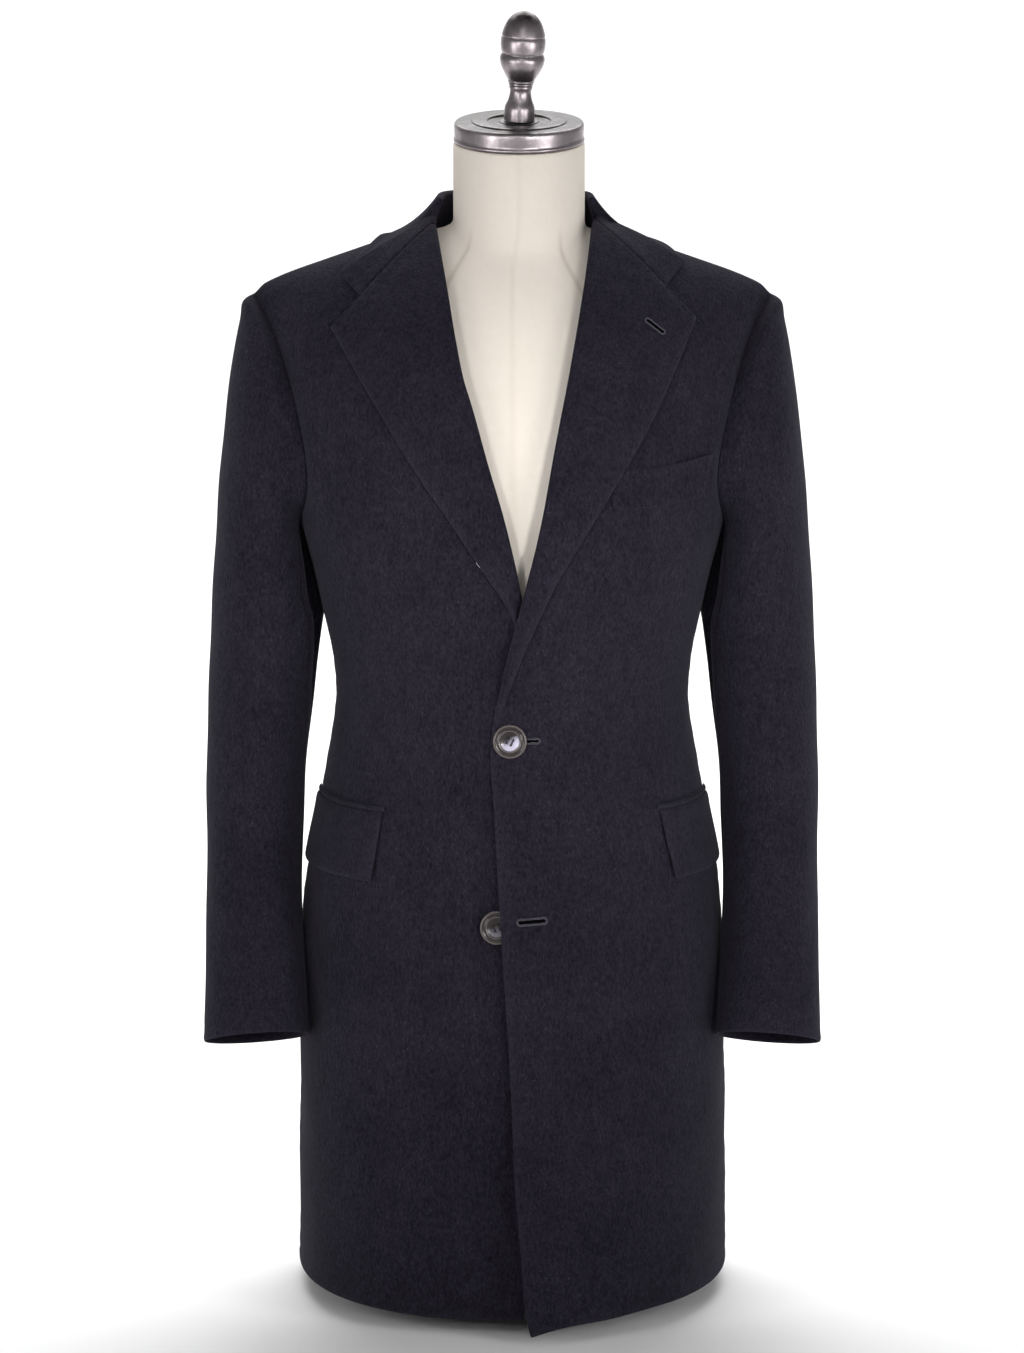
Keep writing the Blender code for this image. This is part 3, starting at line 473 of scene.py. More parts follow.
def sew(name, layer, kinds, thick=CLOTH):
    """A sheet of cloth whose two sides meet in a rounded rim.

    layer(depth) gives the grid of points at a depth below the outer side. kinds says what each of the four
    edges is, first and last row, then first and last column: a seam, or a free edge that is turned in.
    """
    grid = layer(np.zeros(layer(0.0).shape[:2]))
    distances = from_edges(grid)
    reach = {"seam": 0.0030, "edge": 0.0020}
    face_depth = np.zeros(grid.shape[:2])
    free, seam = np.full(grid.shape[:2], 1.0), np.full(grid.shape[:2], 1.0)
    for distance, kind in zip(distances, kinds):
        share = np.clip(distance / reach[kind], 0, 1)
        face_depth = np.maximum(face_depth, thick / 2 * (1 - np.sqrt(1 - (1 - share) ** 2)))
        if kind == "edge":
            free = np.minimum(free, distance)
        else:
            seam = np.minimum(seam, distance)
    plump = 0.0004 * np.exp(-(((free - 0.0045) / 0.003) ** 2)) - 0.0003 * np.exp(-(((free - 0.0105) / 0.0025) ** 2))
    pressed = 0.00028 * np.exp(-(((seam - 0.0065) / 0.0035) ** 2))
    face = layer(face_depth - (plump + pressed) * smooth(face_depth, thick / 2, 0))
    lining = layer(thick - face_depth)
    rows, columns = grid.shape[:2]
    index = np.arange(rows * columns).reshape(rows, columns)
    under = index.copy()
    under[1:-1, 1:-1] = rows * columns + np.arange((rows - 2) * (columns - 2)).reshape(rows - 2, columns - 2)
    points = np.concatenate([face.reshape(-1, 3), lining[1:-1, 1:-1].reshape(-1, 3)])

    def quads(numbers):
        corners = [numbers[:-1, :-1], numbers[:-1, 1:], numbers[1:, 1:], numbers[1:, :-1]]
        return np.stack(corners, axis=-1).reshape(-1, 4)

    mesh = bpy.data.meshes.new(name)
    mesh.from_pydata(points, [], np.concatenate([quads(index), quads(under)[:, ::-1]]).tolist())
    tidy = bmesh.new()
    tidy.from_mesh(mesh)
    if tidy.calc_volume(signed=True) < 0:
        bmesh.ops.reverse_faces(tidy, faces=tidy.faces)
    tidy.to_mesh(mesh)
    tidy.free()
    for label, distance in (("free_edge", free), ("seam", seam)):
        near = np.exp(-distance / 0.004)
        both = np.concatenate([near.reshape(-1), near[1:-1, 1:-1].reshape(-1)]).astype(np.float32)
        mesh.attributes.new(label, "FLOAT", "POINT").data.foreach_set("value", both)
    mesh.shade_smooth()
    made = bpy.data.objects.new(name, mesh)
    bpy.context.scene.collection.objects.link(made)
    wear(made, wool)
    return made


# Brushed overcoating: short fibres that lie downwards and catch the light here and there, so that the navy
# is broken up by fine specks. The turned edges are painted lighter as a highlight, with some rubbed nap, and the seams
# are painted darker as shade in their grooves.
wool = Finish(
    "brushed_wool",
    Roughness=1.0,
    Specular_IOR_Level=0.04,
    Sheen_Weight=0.05,
    Sheen_Roughness=0.55,
    Sheen_Tint=(0.86, 0.84, 1.0, 1),
)
lying = wool.place((1, 1, 0.5))
specks = wool.noise(lying, 430, 3, 0.65)
fibres = wool.noise(wool.place((1, 1, 0.28)), 1300, 2, 0.5)
tufts = wool.noise(lying, 120, 2, 0.5)
clouds = wool.noise(wool.place(), 14, 3, 0.5)
free_edge = wool.marked("free_edge")
seam_line = wool.marked("seam")
nap = 0.5 + (specks - 0.5) * 2.0 + (fibres - 0.5) * 1.1 + (tufts - 0.5) * 0.5 + (clouds - 0.5) * 0.5
# painted highlight along the turned edges, partly rubbed nap, and painted shade along the seams
nap = nap + free_edge * 0.30 - seam_line * 0.12
navy = wool.mix(nap.kept(), (0.0056, 0.0047, 0.0080, 1), (0.0226, 0.0196, 0.0302, 1))
lint = (wool.noise(lying, 900, 1, 0.4) - 0.5 + (clouds - 0.5) * 0.2).between(0.19, 0.26)
wool.give(Base_Color=wool.mix(lint * 0.35, navy, (0.075, 0.070, 0.095, 1)))
wool.give(Normal=wool.relief(fibres, 0.0003, wool.relief(specks, 0.0007)))

Fold = namedtuple("Fold", "start middle end reach depth")


def folded(folds, u, v):
    """How far the listed creases move the cloth out, at places u, v: troughs are negative, ridges positive."""
    out = np.zeros(u.shape)
    for fold in folds:
        a, b, c = (np.array(point) for point in (fold.start, fold.middle, fold.end))
        t = np.linspace(0, 1, 15)
        line = (1 - t)[:, None] ** 2 * a + 2 * (t * (1 - t))[:, None] * (2 * b - (a + c) / 2) + t[:, None] ** 2 * c
        nearest, share = np.full(u.shape, 1e9), np.zeros(u.shape)
        for k in range(14):
            p, d = line[k], line[k + 1] - line[k]
            s = np.clip(((u - p[0]) * d[0] + (v - p[1]) * d[1]) / (d @ d), 0, 1)
            gap = np.hypot(u - p[0] - s * d[0], v - p[1] - s * d[1])
            closer = gap < nearest
            nearest, share = np.where(closer, gap, nearest), np.where(closer, (k + s) / 14, share)
        taper = np.sin(math.pi * np.clip(share, 0.0, 1.0)) ** 0.8 * 0.92 + 0.08
        out += fold.depth * np.exp(-((nearest / fold.reach) ** 2)) * taper
    return out


def ripple(points, size, seed):
    """A slow uneven wave of height 1 over the cloth, to break up flat places."""
    x, y, z = (points[..., k] / size for k in range(3))
    wave = np.sin(2.1 * x + 1.3 * z + seed) * np.sin(1.7 * z - 0.9 * y + 2.3 * seed)
    return 0.6 * wave + 0.4 * np.sin(3.7 * x - 2.9 * z + 1.7 * y + 3.1 * seed)


BODY_FOLDS = {
    "left_front": (
        Fold((0.020, 0.548), (0.070, 0.560), (0.128, 0.583), 0.010, -0.0012),
        Fold((0.030, 0.518), (0.078, 0.510), (0.125, 0.514), 0.012, -0.0010),
        Fold((0.178, 0.842), (0.168, 0.790), (0.165, 0.730), 0.014, -0.0030),
        Fold((0.150, 0.700), (0.140, 0.640), (0.120, 0.590), 0.022, -0.0014),
        Fold((0.070, 0.380), (0.078, 0.220), (0.082, 0.030), 0.030, -0.0022),
        Fold((0.128, 0.360), (0.136, 0.200), (0.142, 0.030), 0.026, 0.0020),
    ),
    "right_front": (
        Fold((0.020, 0.552), (0.070, 0.566), (0.125, 0.590), 0.011, -0.0013),
        Fold((0.030, 0.522), (0.080, 0.516), (0.130, 0.524), 0.012, -0.0010),
        Fold((0.180, 0.850), (0.170, 0.795), (0.166, 0.735), 0.014, -0.0030),
        Fold((0.129, 0.650), (0.127, 0.580), (0.125, 0.505), 0.0022, -0.0005),
        Fold((0.075, 0.360), (0.080, 0.220), (0.080, 0.030), 0.028, -0.0020),
        Fold((0.132, 0.350), (0.138, 0.200), (0.140, 0.030), 0.026, 0.0018),
        Fold((0.021, 0.520), (0.0245, 0.330), (0.026, 0.120), 0.0095, -0.0034),
    ),
    "back": (
        Fold((0.060, 0.905), (0.095, 0.880), (0.140, 0.878), 0.018, -0.0022),
        Fold((0.168, 0.830), (0.150, 0.770), (0.140, 0.700), 0.016, -0.0035),
        Fold((0.020, 0.640), (0.070, 0.628), (0.130, 0.650), 0.016, -0.0018),
        Fold((0.030, 0.590), (0.080, 0.570), (0.130, 0.580), 0.014, 0.0014),
        Fold((0.060, 0.480), (0.066, 0.280), (0.070, 0.030), 0.032, -0.0040),
        Fold((0.125, 0.440), (0.130, 0.240), (0.140, 0.030), 0.030, 0.0035),
    ),
}


def front_inside(side, levels):
    """Where a front panel's inner edge stands at each level: its free edge, then inside the lapel's roll."""
    edge, crease = EDGES[side], CREASES[side]
    x = np.zeros(len(levels))
    for _ in range(5):
        z = np.where(levels < 1, HEM + levels * (ARMPIT - HEM), ARMPIT + rise_of(levels) * (ridge(x) - ARMPIT))
        turn = smooth(z, crease[0].z - 0.004, crease[0].z + 0.020)
        x = along(edge, "x", z) * (1 - turn) + (along(crease, "x", z) + ROLL + SEAM_ROOM) * turn
    return x + (NECK_POINT - x) * smooth(levels, 1.975, 2.0)


def front_grid(side):
    """A front panel's points, normals and levels: rows from hem to shoulder, columns from edge to side seam."""
    lower = spread(ARMPIT - HEM, 136)
    levels = np.concatenate([lower[lower <= 0.99], [1.0], 1 + (1 - np.cos(math.pi * upper_share())) / 2])
    inner = angle_at(front_inside(side, levels), levels)
    outer = armhole_angle(levels)
    width = half_width(levels) * (1.24 - 0.2 * rise_of(levels))
    share = spread(width, 50)
    angle, level = inner[:, None] + (outer - inner)[:, None] * share, levels[:, None] + 0 * share
    points, normals = torso(angle, level), outward(angle, level)
    if side == "left":
        points = points + normals * overlap(points)[..., None]
        near_edge = np.clip(1 - (points[..., 0] - 0.0185) / 0.045, 0, 1) ** 2 * np.clip(1 - level / 0.078, 0, 1)
        points[..., 2] -= 0.008 * near_edge
    return points, normals, level


def upper_share():
    """Shares of the way from the armpit to the shoulder, closer together at the seam."""
    return np.concatenate([np.linspace(0, 0.965, 56)[1:], 1 - np.array([0.026, 0.019, 0.013, 0.008, 0.004, 0.0015, 0])])


def back_grid():
    """As front_grid, for a back panel: columns run from the centre back to the side seam."""
    lower = spread(ARMPIT - HEM, 136)
    way = upper_share()
    way = np.sort(np.concatenate([way[np.abs(way - 0.6) > 0.004], [0.5975, 0.6, 0.6025]]))
    levels = np.concatenate([lower[lower <= 0.99], [1.0], 1 + (1 - np.cos(math.pi * way)) / 2])
    neck = [between_rows(COLLAR, max(q - 0.6, 0) * 10, COLLAR_BEFORE) for q in way]
    seam_x = np.concatenate([np.zeros(len(levels) - len(way)), [n.seam_x if q > 0.6 else 0 for n, q in zip(neck, way)]])
    risen = [n.seam_rise if q > 0.6 else COLLAR[0].seam_rise * q / 0.6 for n, q in zip(neck, way)]
    seam_level = np.concatenate([levels[: len(levels) - len(way)], 1 + np.array(risen)])
    inner = angle_at(seam_x, seam_level, back=True)
    outer = armhole_angle(levels, back=True)
    share = spread(half_width(levels) * (1.22 - 0.2 * rise_of(levels)), 50)
    angle = inner[:, None] + (outer - inner)[:, None] * share
    level = seam_level[:, None] + (levels - seam_level)[:, None] * share
    return torso(angle, level), outward(angle, level), level


def armhole_loop(turn):
    """(points, body normals) round the left armhole: the turn is 0 at the shoulder and goes over the front."""
    level = 1 + (1 + np.cos(turn)) / 2
    behind = np.sin(turn) < 0
    angle = np.where(behind, armhole_angle(level, back=True), armhole_angle(level))
    return torso(angle, level), outward(angle, level)


def body_layer(side, part):
    points, normals, level = front_grid(side) if part == "front" else back_grid()
    x, z = np.abs(points[..., 0]), points[..., 2]
    first_row, last_row, first_column, last_column = from_edges(points)
    out = folded(BODY_FOLDS[f"{side}_front" if part == "front" else "back"], x, z)
    out += 0.0007 * ripple(points, 0.055, 1.0 if side == "left" else 2.4) * smooth(z, 0.62, 0.45)
    out += 0.0004 * ripple(points, 0.035, 0.3 if side == "left" else 1.9)
    # the side and back seams pucker along their length
    pucker = np.sin(z * 2 * math.pi / 0.019 + 2 * np.sin(z * 31)) * np.exp(-((last_column - 0.007) / 0.006) ** 2)
    out += 0.00016 * pucker
    out *= smooth(first_column, 0.0, 0.030) if part == "front" else 1.0
    out *= smooth(first_row, -0.02, 0.02) * smooth(last_row, 0.0, 0.03)
    # the armhole seam pulls the cloth in, and there it turns under to meet the sleeve
    turn = np.arccos(np.clip(2 * rise_of(level[:, -1]) - 1, -1, 1)) * (1 if part == "front" else -1)
    tilt = mitre_at(turn)
    drawn_in = np.exp(-((last_column / CREASE_REACH) ** 2))[..., None] * armhole_crease(turn)[:, None, :]
    points = points + normals * out[..., None] - drawn_in
    near = (smooth(last_column, 0.006, 0.0) * smooth(level, 0.999, 1.02))[..., None]
    down = normals * (1 - near) + tilt[:, None, :] * near
    return lambda depth: mirrored(side, points - down * np.asarray(depth)[..., None])


# ---- the line of the sleeves, which the armholes are sewn to
Ring = namedtuple("Ring", "outer_x outer_z inner_x inner_z half_depth y tip twist")
SLEEVE = table(
    Ring,
    (0.2400, 0.9110, 0.1908, 0.7035, 0.0680, 0.000, 0, 0), (0.2490, 0.8750, 0.1890, 0.6950, 0.0705, 0.001, 0, 0),
    (0.2572, 0.8210, 0.1858, 0.6820, 0.0725, 0.002, 0, 0), (0.2645, 0.7550, 0.1815, 0.6650, 0.0735, 0.003, 0, -3),
    (0.2695, 0.6900, 0.1772, 0.6430, 0.0735, 0.004, 0, -6), (0.2740, 0.6200, 0.1737, 0.6180, 0.0725, 0.005, 0, -2),
    (0.2770, 0.5500, 0.1812, 0.5500, 0.0680, 0.005, 1, 11), (0.2790, 0.4850, 0.1880, 0.4850, 0.0635, 0.001, 5, 20),
    (0.2787, 0.4200, 0.1912, 0.4200, 0.0600, -0.008, 10, 26),
    (0.2784, 0.3580, 0.1915, 0.3600, 0.0565, -0.027, 15, 29),
    (0.2787, 0.3000, 0.1878, 0.3040, 0.0530, -0.049, 18, 30),
    (0.2790, 0.2455, 0.1835, 0.2530, 0.0505, -0.071, 18, 30),
)


def sleeve_points(way, turn):
    """The left sleeve's surface: the way is 0 at the armhole and 12 at the cuff, the turn goes round it."""
    loop, _ = armhole_loop(turn)
    ends, _ = armhole_loop(np.array([0.0, math.pi]))
    head = Ring(ends[0][0], ends[0][2], ends[1][0], ends[1][2], 0.066, 0.0, 0.0, 0.0)
    rows = (head, *SLEEVE)
    opening = [2 * a - b for a, b in zip(rows[0], rows[1])]

    def ellipse(ring):
        outer, inner = np.array([ring.outer_x, 0, ring.outer_z]), np.array([ring.inner_x, 0, ring.inner_z])
        tip, twist = math.radians(ring.tip), math.radians(ring.twist)
        middle, half = (outer + inner) / 2 + np.array([0, ring.y, 0]), (outer - inner) / 2
        forward = np.array([0, -math.cos(tip), math.sin(tip)]) * ring.half_depth
        return middle + np.cos(turn + twist)[:, None] * half + np.sin(turn + twist)[:, None] * forward

    first = ellipse(head)
    return np.array([ellipse(between_rows(rows, w, opening)) + (loop - first) * 0.5**w for w in way])


def mitre_at(turn):
    """The way the cloth turns under along the armhole, halfway between the body and the sleeve."""
    step = 0.02
    _, body = armhole_loop(turn)
    on, ahead, behind = (sleeve_points([0.0, 0.04], turn + t) for t in (0, step, -step))
    sleeve = unit(np.cross(ahead[0] - behind[0], on[1] - on[0]))
    both = body + sleeve
    length = np.linalg.norm(both, axis=-1, keepdims=True)
    return np.where(length > 1, 2 * both / np.maximum(length, 1) ** 2, unit(both))


def armhole_crease(turn):
    """How far the seam draws both cloths in at each place round the armhole, as vectors."""
    level = 1 + (1 + np.cos(turn)) / 2
    return mitre_at(turn) * (CREASE_DEPTH * smooth(level, 1.0, 1.12))[:, None]


FLAT_CUT = {"front": ((0.330, 1.020), 0.262), "back": ((0.275, 1.030), 0.237)}
for side in ("left", "right"):
    for part in ("front", "back"):
        kinds = ("edge", "seam", "edge" if part == "front" else "seam", "seam")
        panel = sew(f"{side}_{part}_cloth", body_layer(side, part), kinds)
        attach(panel, "root")
        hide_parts(f"{side}_{part}")
        flat, area = FLAT_CUT[part]


# ---------------------------------------------------------------- sleeves
# Two-piece sleeves, a wide top sleeve and a narrow under sleeve, each pair sewn into a tube and set into the
# armhole with a slightly full head. The under sleeve falls in where the arm would fill it.
SLEEVE_FOLDS = (  # round the sleeve in degrees over 300, and along it in metres down from z 1
    Fold((0.545, 0.15), (0.548, 0.33), (0.545, 0.53), 0.015, -0.0170),
    Fold((0.470, 0.34), (0.474, 0.42), (0.478, 0.56), 0.006, 0.0012),
    Fold((0.24, 0.33), (0.36, 0.36), (0.47, 0.40), 0.020, -0.0016),
    Fold((0.20, 0.42), (0.30, 0.455), (0.42, 0.47), 0.022, -0.0013),
    Fold((-0.05, 0.62), (0.06, 0.68), (0.16, 0.72), 0.022, -0.0012),
    Fold((-0.34, 0.28), (-0.30, 0.34), (-0.27, 0.42), 0.026, -0.0020),
)


def clear_of_body(grid, room):
    """Moves what would touch the body below the armpit out to a small distance from it."""
    z = np.minimum(grid[..., 2], ARMPIT)
    middle = along(SECTIONS, "middle", z)
    ahead = grid[..., 1] < middle
    depth = np.where(ahead, along(SECTIONS, "front", z) + middle, along(SECTIONS, "back", z) - middle)
    x, y = np.abs(grid[..., 0]) / along(SECTIONS, "half_width", z), np.abs(grid[..., 1] - middle) / depth
    reach = (x**ROUNDNESS + y**ROUNDNESS) ** (1 / ROUNDNESS)
    push = np.where(grid[..., 2] < ARMPIT - 0.002, np.maximum((1 + room / 0.15) / reach, 1), 1)
    centre = np.stack([0 * middle, middle, grid[..., 2]], axis=-1)
    return centre + (grid - centre) * np.stack([push, push, 1 + 0 * push], axis=-1)


def sleeve_layer(side, first, last, count):
    """A strip of the sleeve between two turns, in degrees."""
    way = np.concatenate([[0, 0.012, 0.035, 0.07, 0.12, 0.19, 0.28], np.linspace(0.38, 11.9, 118)])
    way = np.concatenate([way, [11.93, 11.955, 11.975, 11.99, 11.997, 12.0]])
    span = math.radians(last - first)
    turn = math.radians(first) + span * spread(0.058 * span, count)
    step = 0.01
    grid = sleeve_points(way, turn)
    around = sleeve_points(way, turn + step) - sleeve_points(way, turn - step)
    normals = unit(np.cross(around, np.gradient(grid, axis=0)))
    first_row, last_row, first_column, last_column = from_edges(grid)
    u = np.degrees(turn)[None, :] / 300 + 0 * grid[..., 0]
    out = folded(SLEEVE_FOLDS, u, 1 - grid[..., 2])
    out += 0.0005 * ripple(grid, 0.045, 0.7 if side == "left" else 2.9)
    # the head stands a little full beside the armhole seam, with the fullness eased in
    head = np.clip(np.cos(turn), 0, 1)[None, :] ** 0.6
    out += 0.0022 * head * np.exp(-(((first_row - 0.014) / 0.009) ** 2))
    out *= smooth(first_row, 0, 0.012) * smooth(last_row, 0, 0.03)
    # the under sleeve fills out behind, so that no light comes between it and the body under the arm
    behind = np.exp(-(((np.degrees(turn)[None, :] - 214) / 20) ** 2)) * np.exp(-(((grid[..., 2] - 0.665) / 0.05) ** 2))
    drawn_in = np.exp(-((first_row / CREASE_REACH) ** 2))[..., None] * armhole_crease(turn)[None, :, :]
    grid = grid + normals * out[..., None] - drawn_in - behind[..., None] * np.array([0.011, 0, 0])
    grid = clear_of_body(grid, 0.0012)
    near = smooth(first_row, 0.006, 0.0)[..., None]
    down = normals * (1 - near) + mitre_at(turn)[None, :, :] * near
    return lambda depth: mirrored(side, grid - down * np.asarray(depth)[..., None])


for side in ("left", "right"):
    for part, first, last, count, flat, area in (
        ("top_sleeve", -108, 144, 60, (0.26, 0.70), 0.150),
        ("under_sleeve", 144, 252, 30, (0.15, 0.57), 0.058),
    ):
        tube = sew(f"{side}_{part}_cloth", sleeve_layer(side, first, last, count), ("seam", "edge", "seam", "seam"))
        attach(tube, "root")
        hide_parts(f"{side}_{part}")


# ---------------------------------------------------------------- lapels
# The lapels are the fronts' own cloth and facing, rolled back over a soft fold and lying on the chest, with
# the edge turned in and pressed.
LAPELS = {
    "left": table(
        Line,
        (0.566, -0.0070), (0.6207, 0.0125), (0.6741, 0.0364), (0.749, 0.0830), (0.8036, 0.1161), (0.8977, 0.1615),
    ),
    "right": table(
        Line,
        (0.600, -0.0105), (0.6457, 0.0015), (0.6926, 0.0316), (0.7283, 0.0552), (0.7692, 0.0840), (0.8156, 0.1131),
        (0.8900, 0.1592),
    ),
}
NOTCHES = {"left": Line(0.9245, 0.1346), "right": Line(0.9169, 0.1337)}
TIPS = {"left": Line(0.9444, 0.1525), "right": Line(0.9349, 0.1522)}
LAPEL_LIFT = {"left": 0.0068, "right": 0.0045}
HOOK = np.linspace(0, 4, 17)
FLAT = np.array([0.04, *np.linspace(0.08, 0.92, 30), 0.945, 0.963, 0.977, 0.988, 0.9955, 1.0])


def lapel_row(side, crease, edge, small, lift, depth):
    """A lapel along one line, at some depth in its cloth: round the roll, then out over the front to its edge."""
    depth = np.broadcast_to(np.asarray(depth, float), (len(HOOK) + len(FLAT),))
    seam_x = crease.x + ROLL + SEAM_ROOM
    foot, normal = on_front(side, np.array(seam_x), np.array(crease.z))
    above, _ = on_front(side, np.array(seam_x + 0.0015), np.array(crease.z + 0.010))
    into_opening = unit(np.cross(normal, above - foot))
    radius = ROLL * small
    centre = foot + into_opening * SEAM_ROOM + normal * (radius - CLOTH)
    angle = np.radians(-90 + 45 * HOOK)[:, None]
    reach = radius - depth[: len(HOOK), None]
    roll = centre + reach * (np.cos(angle) * into_opening + np.sin(angle) * normal)
    height = (2 * radius - CLOTH) * (1 - FLAT) + lift * FLAT + 0.0030 * small * np.sin(math.pi * FLAT)
    x = seam_x + (edge.x - seam_x) * FLAT
    z = crease.z + (edge.z - crease.z) * FLAT
    flat, _ = on_front(side, x, z, height - depth[len(HOOK) :])
    return np.concatenate([roll, flat])


def lapel_layer(side):
    crease, edge = CREASES[side], LAPELS[side]
    shares = spread(crease[-1].z - crease[0].z, 84)

    def layer(depth):
        depth = np.broadcast_to(np.asarray(depth, float), (len(shares), len(HOOK) + len(FLAT)))
        rows = []
        for share, deep in zip(shares, depth):
            crease_z = crease[0].z + (crease[-1].z - crease[0].z) * share
            # the edge runs up to the lapel's point at 11/12 of the way, and then back in along the notch
            up = min(share * 12 / 11, 1)
            edge_z = edge[0].z + (edge[-1].z - edge[0].z) * up
            back = max(share * 12 - 11, 0)
            end_z = edge_z + (NOTCHES[side].z - edge_z) * back
            end_x = along(edge, "x", edge_z) * (1 - back) + NOTCHES[side].x * back
            small = 0.74 + 0.26 * min(share * 3, 1)
            lift = LAPEL_LIFT[side] + (LAPEL_LIFT["right"] - LAPEL_LIFT[side]) * max(3 * share - 2, 0)
            line = Line(crease_z, float(along(crease, "x", crease_z)))
            rows.append(lapel_row(side, line, Line(end_z, end_x), small, lift, deep))
        grid = np.array(rows)
        grid[-1] += unit(grid[-2] - grid[-1]) * 0.0003
        return mirrored(side, grid)

    return layer


for side, flat, area in (("left", (0.12, 0.46), 0.028), ("right", (0.12, 0.42), 0.027)):
    lapel = sew(f"{side}_lapel_cloth", lapel_layer(side), ("edge", "seam", "seam", "edge"))
    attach(lapel, "root")
    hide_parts(f"{side}_lapel")


# ---------------------------------------------------------------- collar
# One turned-down collar: it stands up round the neck, rolls over at the fold and lies on the back and the
# shoulders, and its ends are sewn to the lapels along the gorge.
COLLAR_SHIFT = 0.0028


def collar_station(share, side_sign, depth):
    """The collar across one station of its back half: up the stand, over the fold, and down the leaf."""
    depth = np.broadcast_to(np.asarray(depth, float), (len(HOOK) + len(FLAT),))
    mirror = np.array([side_sign, 1, 1])
    stand = between_rows(COLLAR, share, COLLAR_BEFORE)
    fold = np.array([side_sign * stand.fold_x + COLLAR_SHIFT, stand.fold_y, stand.fold_z])
    level = 1 + stand.seam_rise
    angle = angle_at(stand.seam_x, level, back=stand.seam_rise < 1)
    seam, normal = torso(angle, level), outward(angle, level)
    toward_neck = seam * np.array([-1, -1, 0])
    toward_neck = unit(toward_neck - normal * (toward_neck @ normal))
    at = (np.array(stand.leaf_x), np.array(stand.leaf_z))
    behind = stand.fold_y > 0
    outer, off = on_front("right", *at, stand.lift, back=behind)
    leaf = outer - off * depth[len(HOOK) :, None]
    outer, leaf = outer * mirror, leaf * mirror
    out = unit((outer - fold) * np.array([1, 1, 0]))
    up = np.array([0.0, 0.0, 1.0])
    centre = fold - up * ROLL
    turn = np.radians(np.interp(HOOK, (2, 3, 4), (170, 110, 55)))[:, None]
    over = centre + (ROLL - depth[: len(HOOK), None]) * (np.cos(turn) * out + np.sin(turn) * up)
    start = (seam + toward_neck * 0.0006 - normal * (CLOTH - depth[: len(HOOK), None])) * mirror
    rising = np.clip(HOOK / 2, 0, 1)[:, None]
    hook = start + (over - start) * rising
    fall_from = centre + (ROLL - depth[len(HOOK) :, None]) * (np.cos(turn[-1]) * out + np.sin(turn[-1]) * up)
    steer = (fall_from + leaf) / 2 - np.array([0, 0, stand.sag]) - out * 0.002
    s = FLAT[:, None]
    return np.concatenate([hook, fall_from * (1 - s) ** 2 + 2 * steer * s * (1 - s) + leaf * s**2])


def collar_half(side, depth):
    """Stations from the centre back to the gorge, where the collar meets the lapel."""
    sign = 1 if side == "left" else -1
    crease, tip, notch = CREASES[side], TIPS[side], NOTCHES[side]
    lift = LAPEL_LIFT["right"]
    stations = [collar_station(k / 2, sign, depth) for k in range(2 * len(COLLAR) - 1)]
    gorge = mirrored(side, lapel_row(side, crease[-1], notch, 1.0, lift, depth))
    high = Line(crease[-1].z + 0.003, crease[-1].x + 0.0012)
    over_tip = mirrored(side, lapel_row(side, high, tip, 1.0, lift, depth))
    last = stations[-1]
    between = last + (over_tip - last) * 0.5
    middle_x = (COLLAR[-1].leaf_x + tip.x) / 2 + 0.002
    middle, _ = on_front(side, np.array(middle_x), np.array(tip.z + 0.0125), lift - depth[-1])
    share = np.concatenate([HOOK / 9, (4 + 5 * FLAT) / 9])[:, None]
    between += share**2 * (mirrored(side, middle) - between[-1])
    between[:, 2] -= 0.0035 * np.sin(math.pi * share[:, 0]) ** 2
    pulled_in = np.concatenate([np.full(len(HOOK), 0.22), 0.22 * smooth(FLAT, 0.2, 0.0)])[:, None]
    toward_tip = over_tip + (last - over_tip) * pulled_in
    return stations + [between, toward_tip, gorge]


def collar_coarse(depth):
    """The collar's stations from the right gorge round the back to the left gorge."""
    return np.array(collar_half("right", depth)[:0:-1] + collar_half("left", depth))


def collar_layer():
    count = 4 * len(COLLAR) + 3
    across = len(HOOK) + len(FLAT)
    outer, inner = collar_coarse(np.zeros(across)), collar_coarse(np.full(across, CLOTH))
    # stations between the coarse ones follow a smooth curve, which turns a sharp corner at the two tips
    by_gorge = spread(0.022, 6)
    ways = np.concatenate([by_gorge, np.linspace(1, count - 2, 150)[1:-1], count - 2 + by_gorge])
    corner = np.concatenate([np.zeros(len(HOOK)), FLAT**4])[:, None]

    def curve(grid, way):
        i = int(min(way, count - 2))
        t = way - i
        start, end = grid[i], grid[i + 1]
        before = grid[i - 1] if i > 0 else start * 2 - end
        after = grid[i + 2] if i < count - 2 else end * 2 - start
        lead, trail = (end - before) / 2, (after - start) / 2
        if i in (1, count - 2):
            lead = lead * (1 - corner) + (end - start) * corner
        if i in (0, count - 3):
            trail = trail * (1 - corner) + (end - start) * corner
        blend = (1 + 2 * t) * (1 - t) ** 2 * start + t * t * (3 - 2 * t) * end
        return blend + t * (1 - t) ** 2 * lead - t * t * (1 - t) * trail

    face = np.array([curve(outer, w) for w in ways])
    lining = np.array([curve(inner, w) for w in ways])

    def layer(depth):
        share = np.broadcast_to(np.asarray(depth, float), face.shape[:2])[..., None] / CLOTH
        return face + (lining - face) * share

    return layer


collar = sew("collar_cloth", collar_layer(), ("seam", "seam", "seam", "edge"))
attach(collar, "root")
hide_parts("collar")


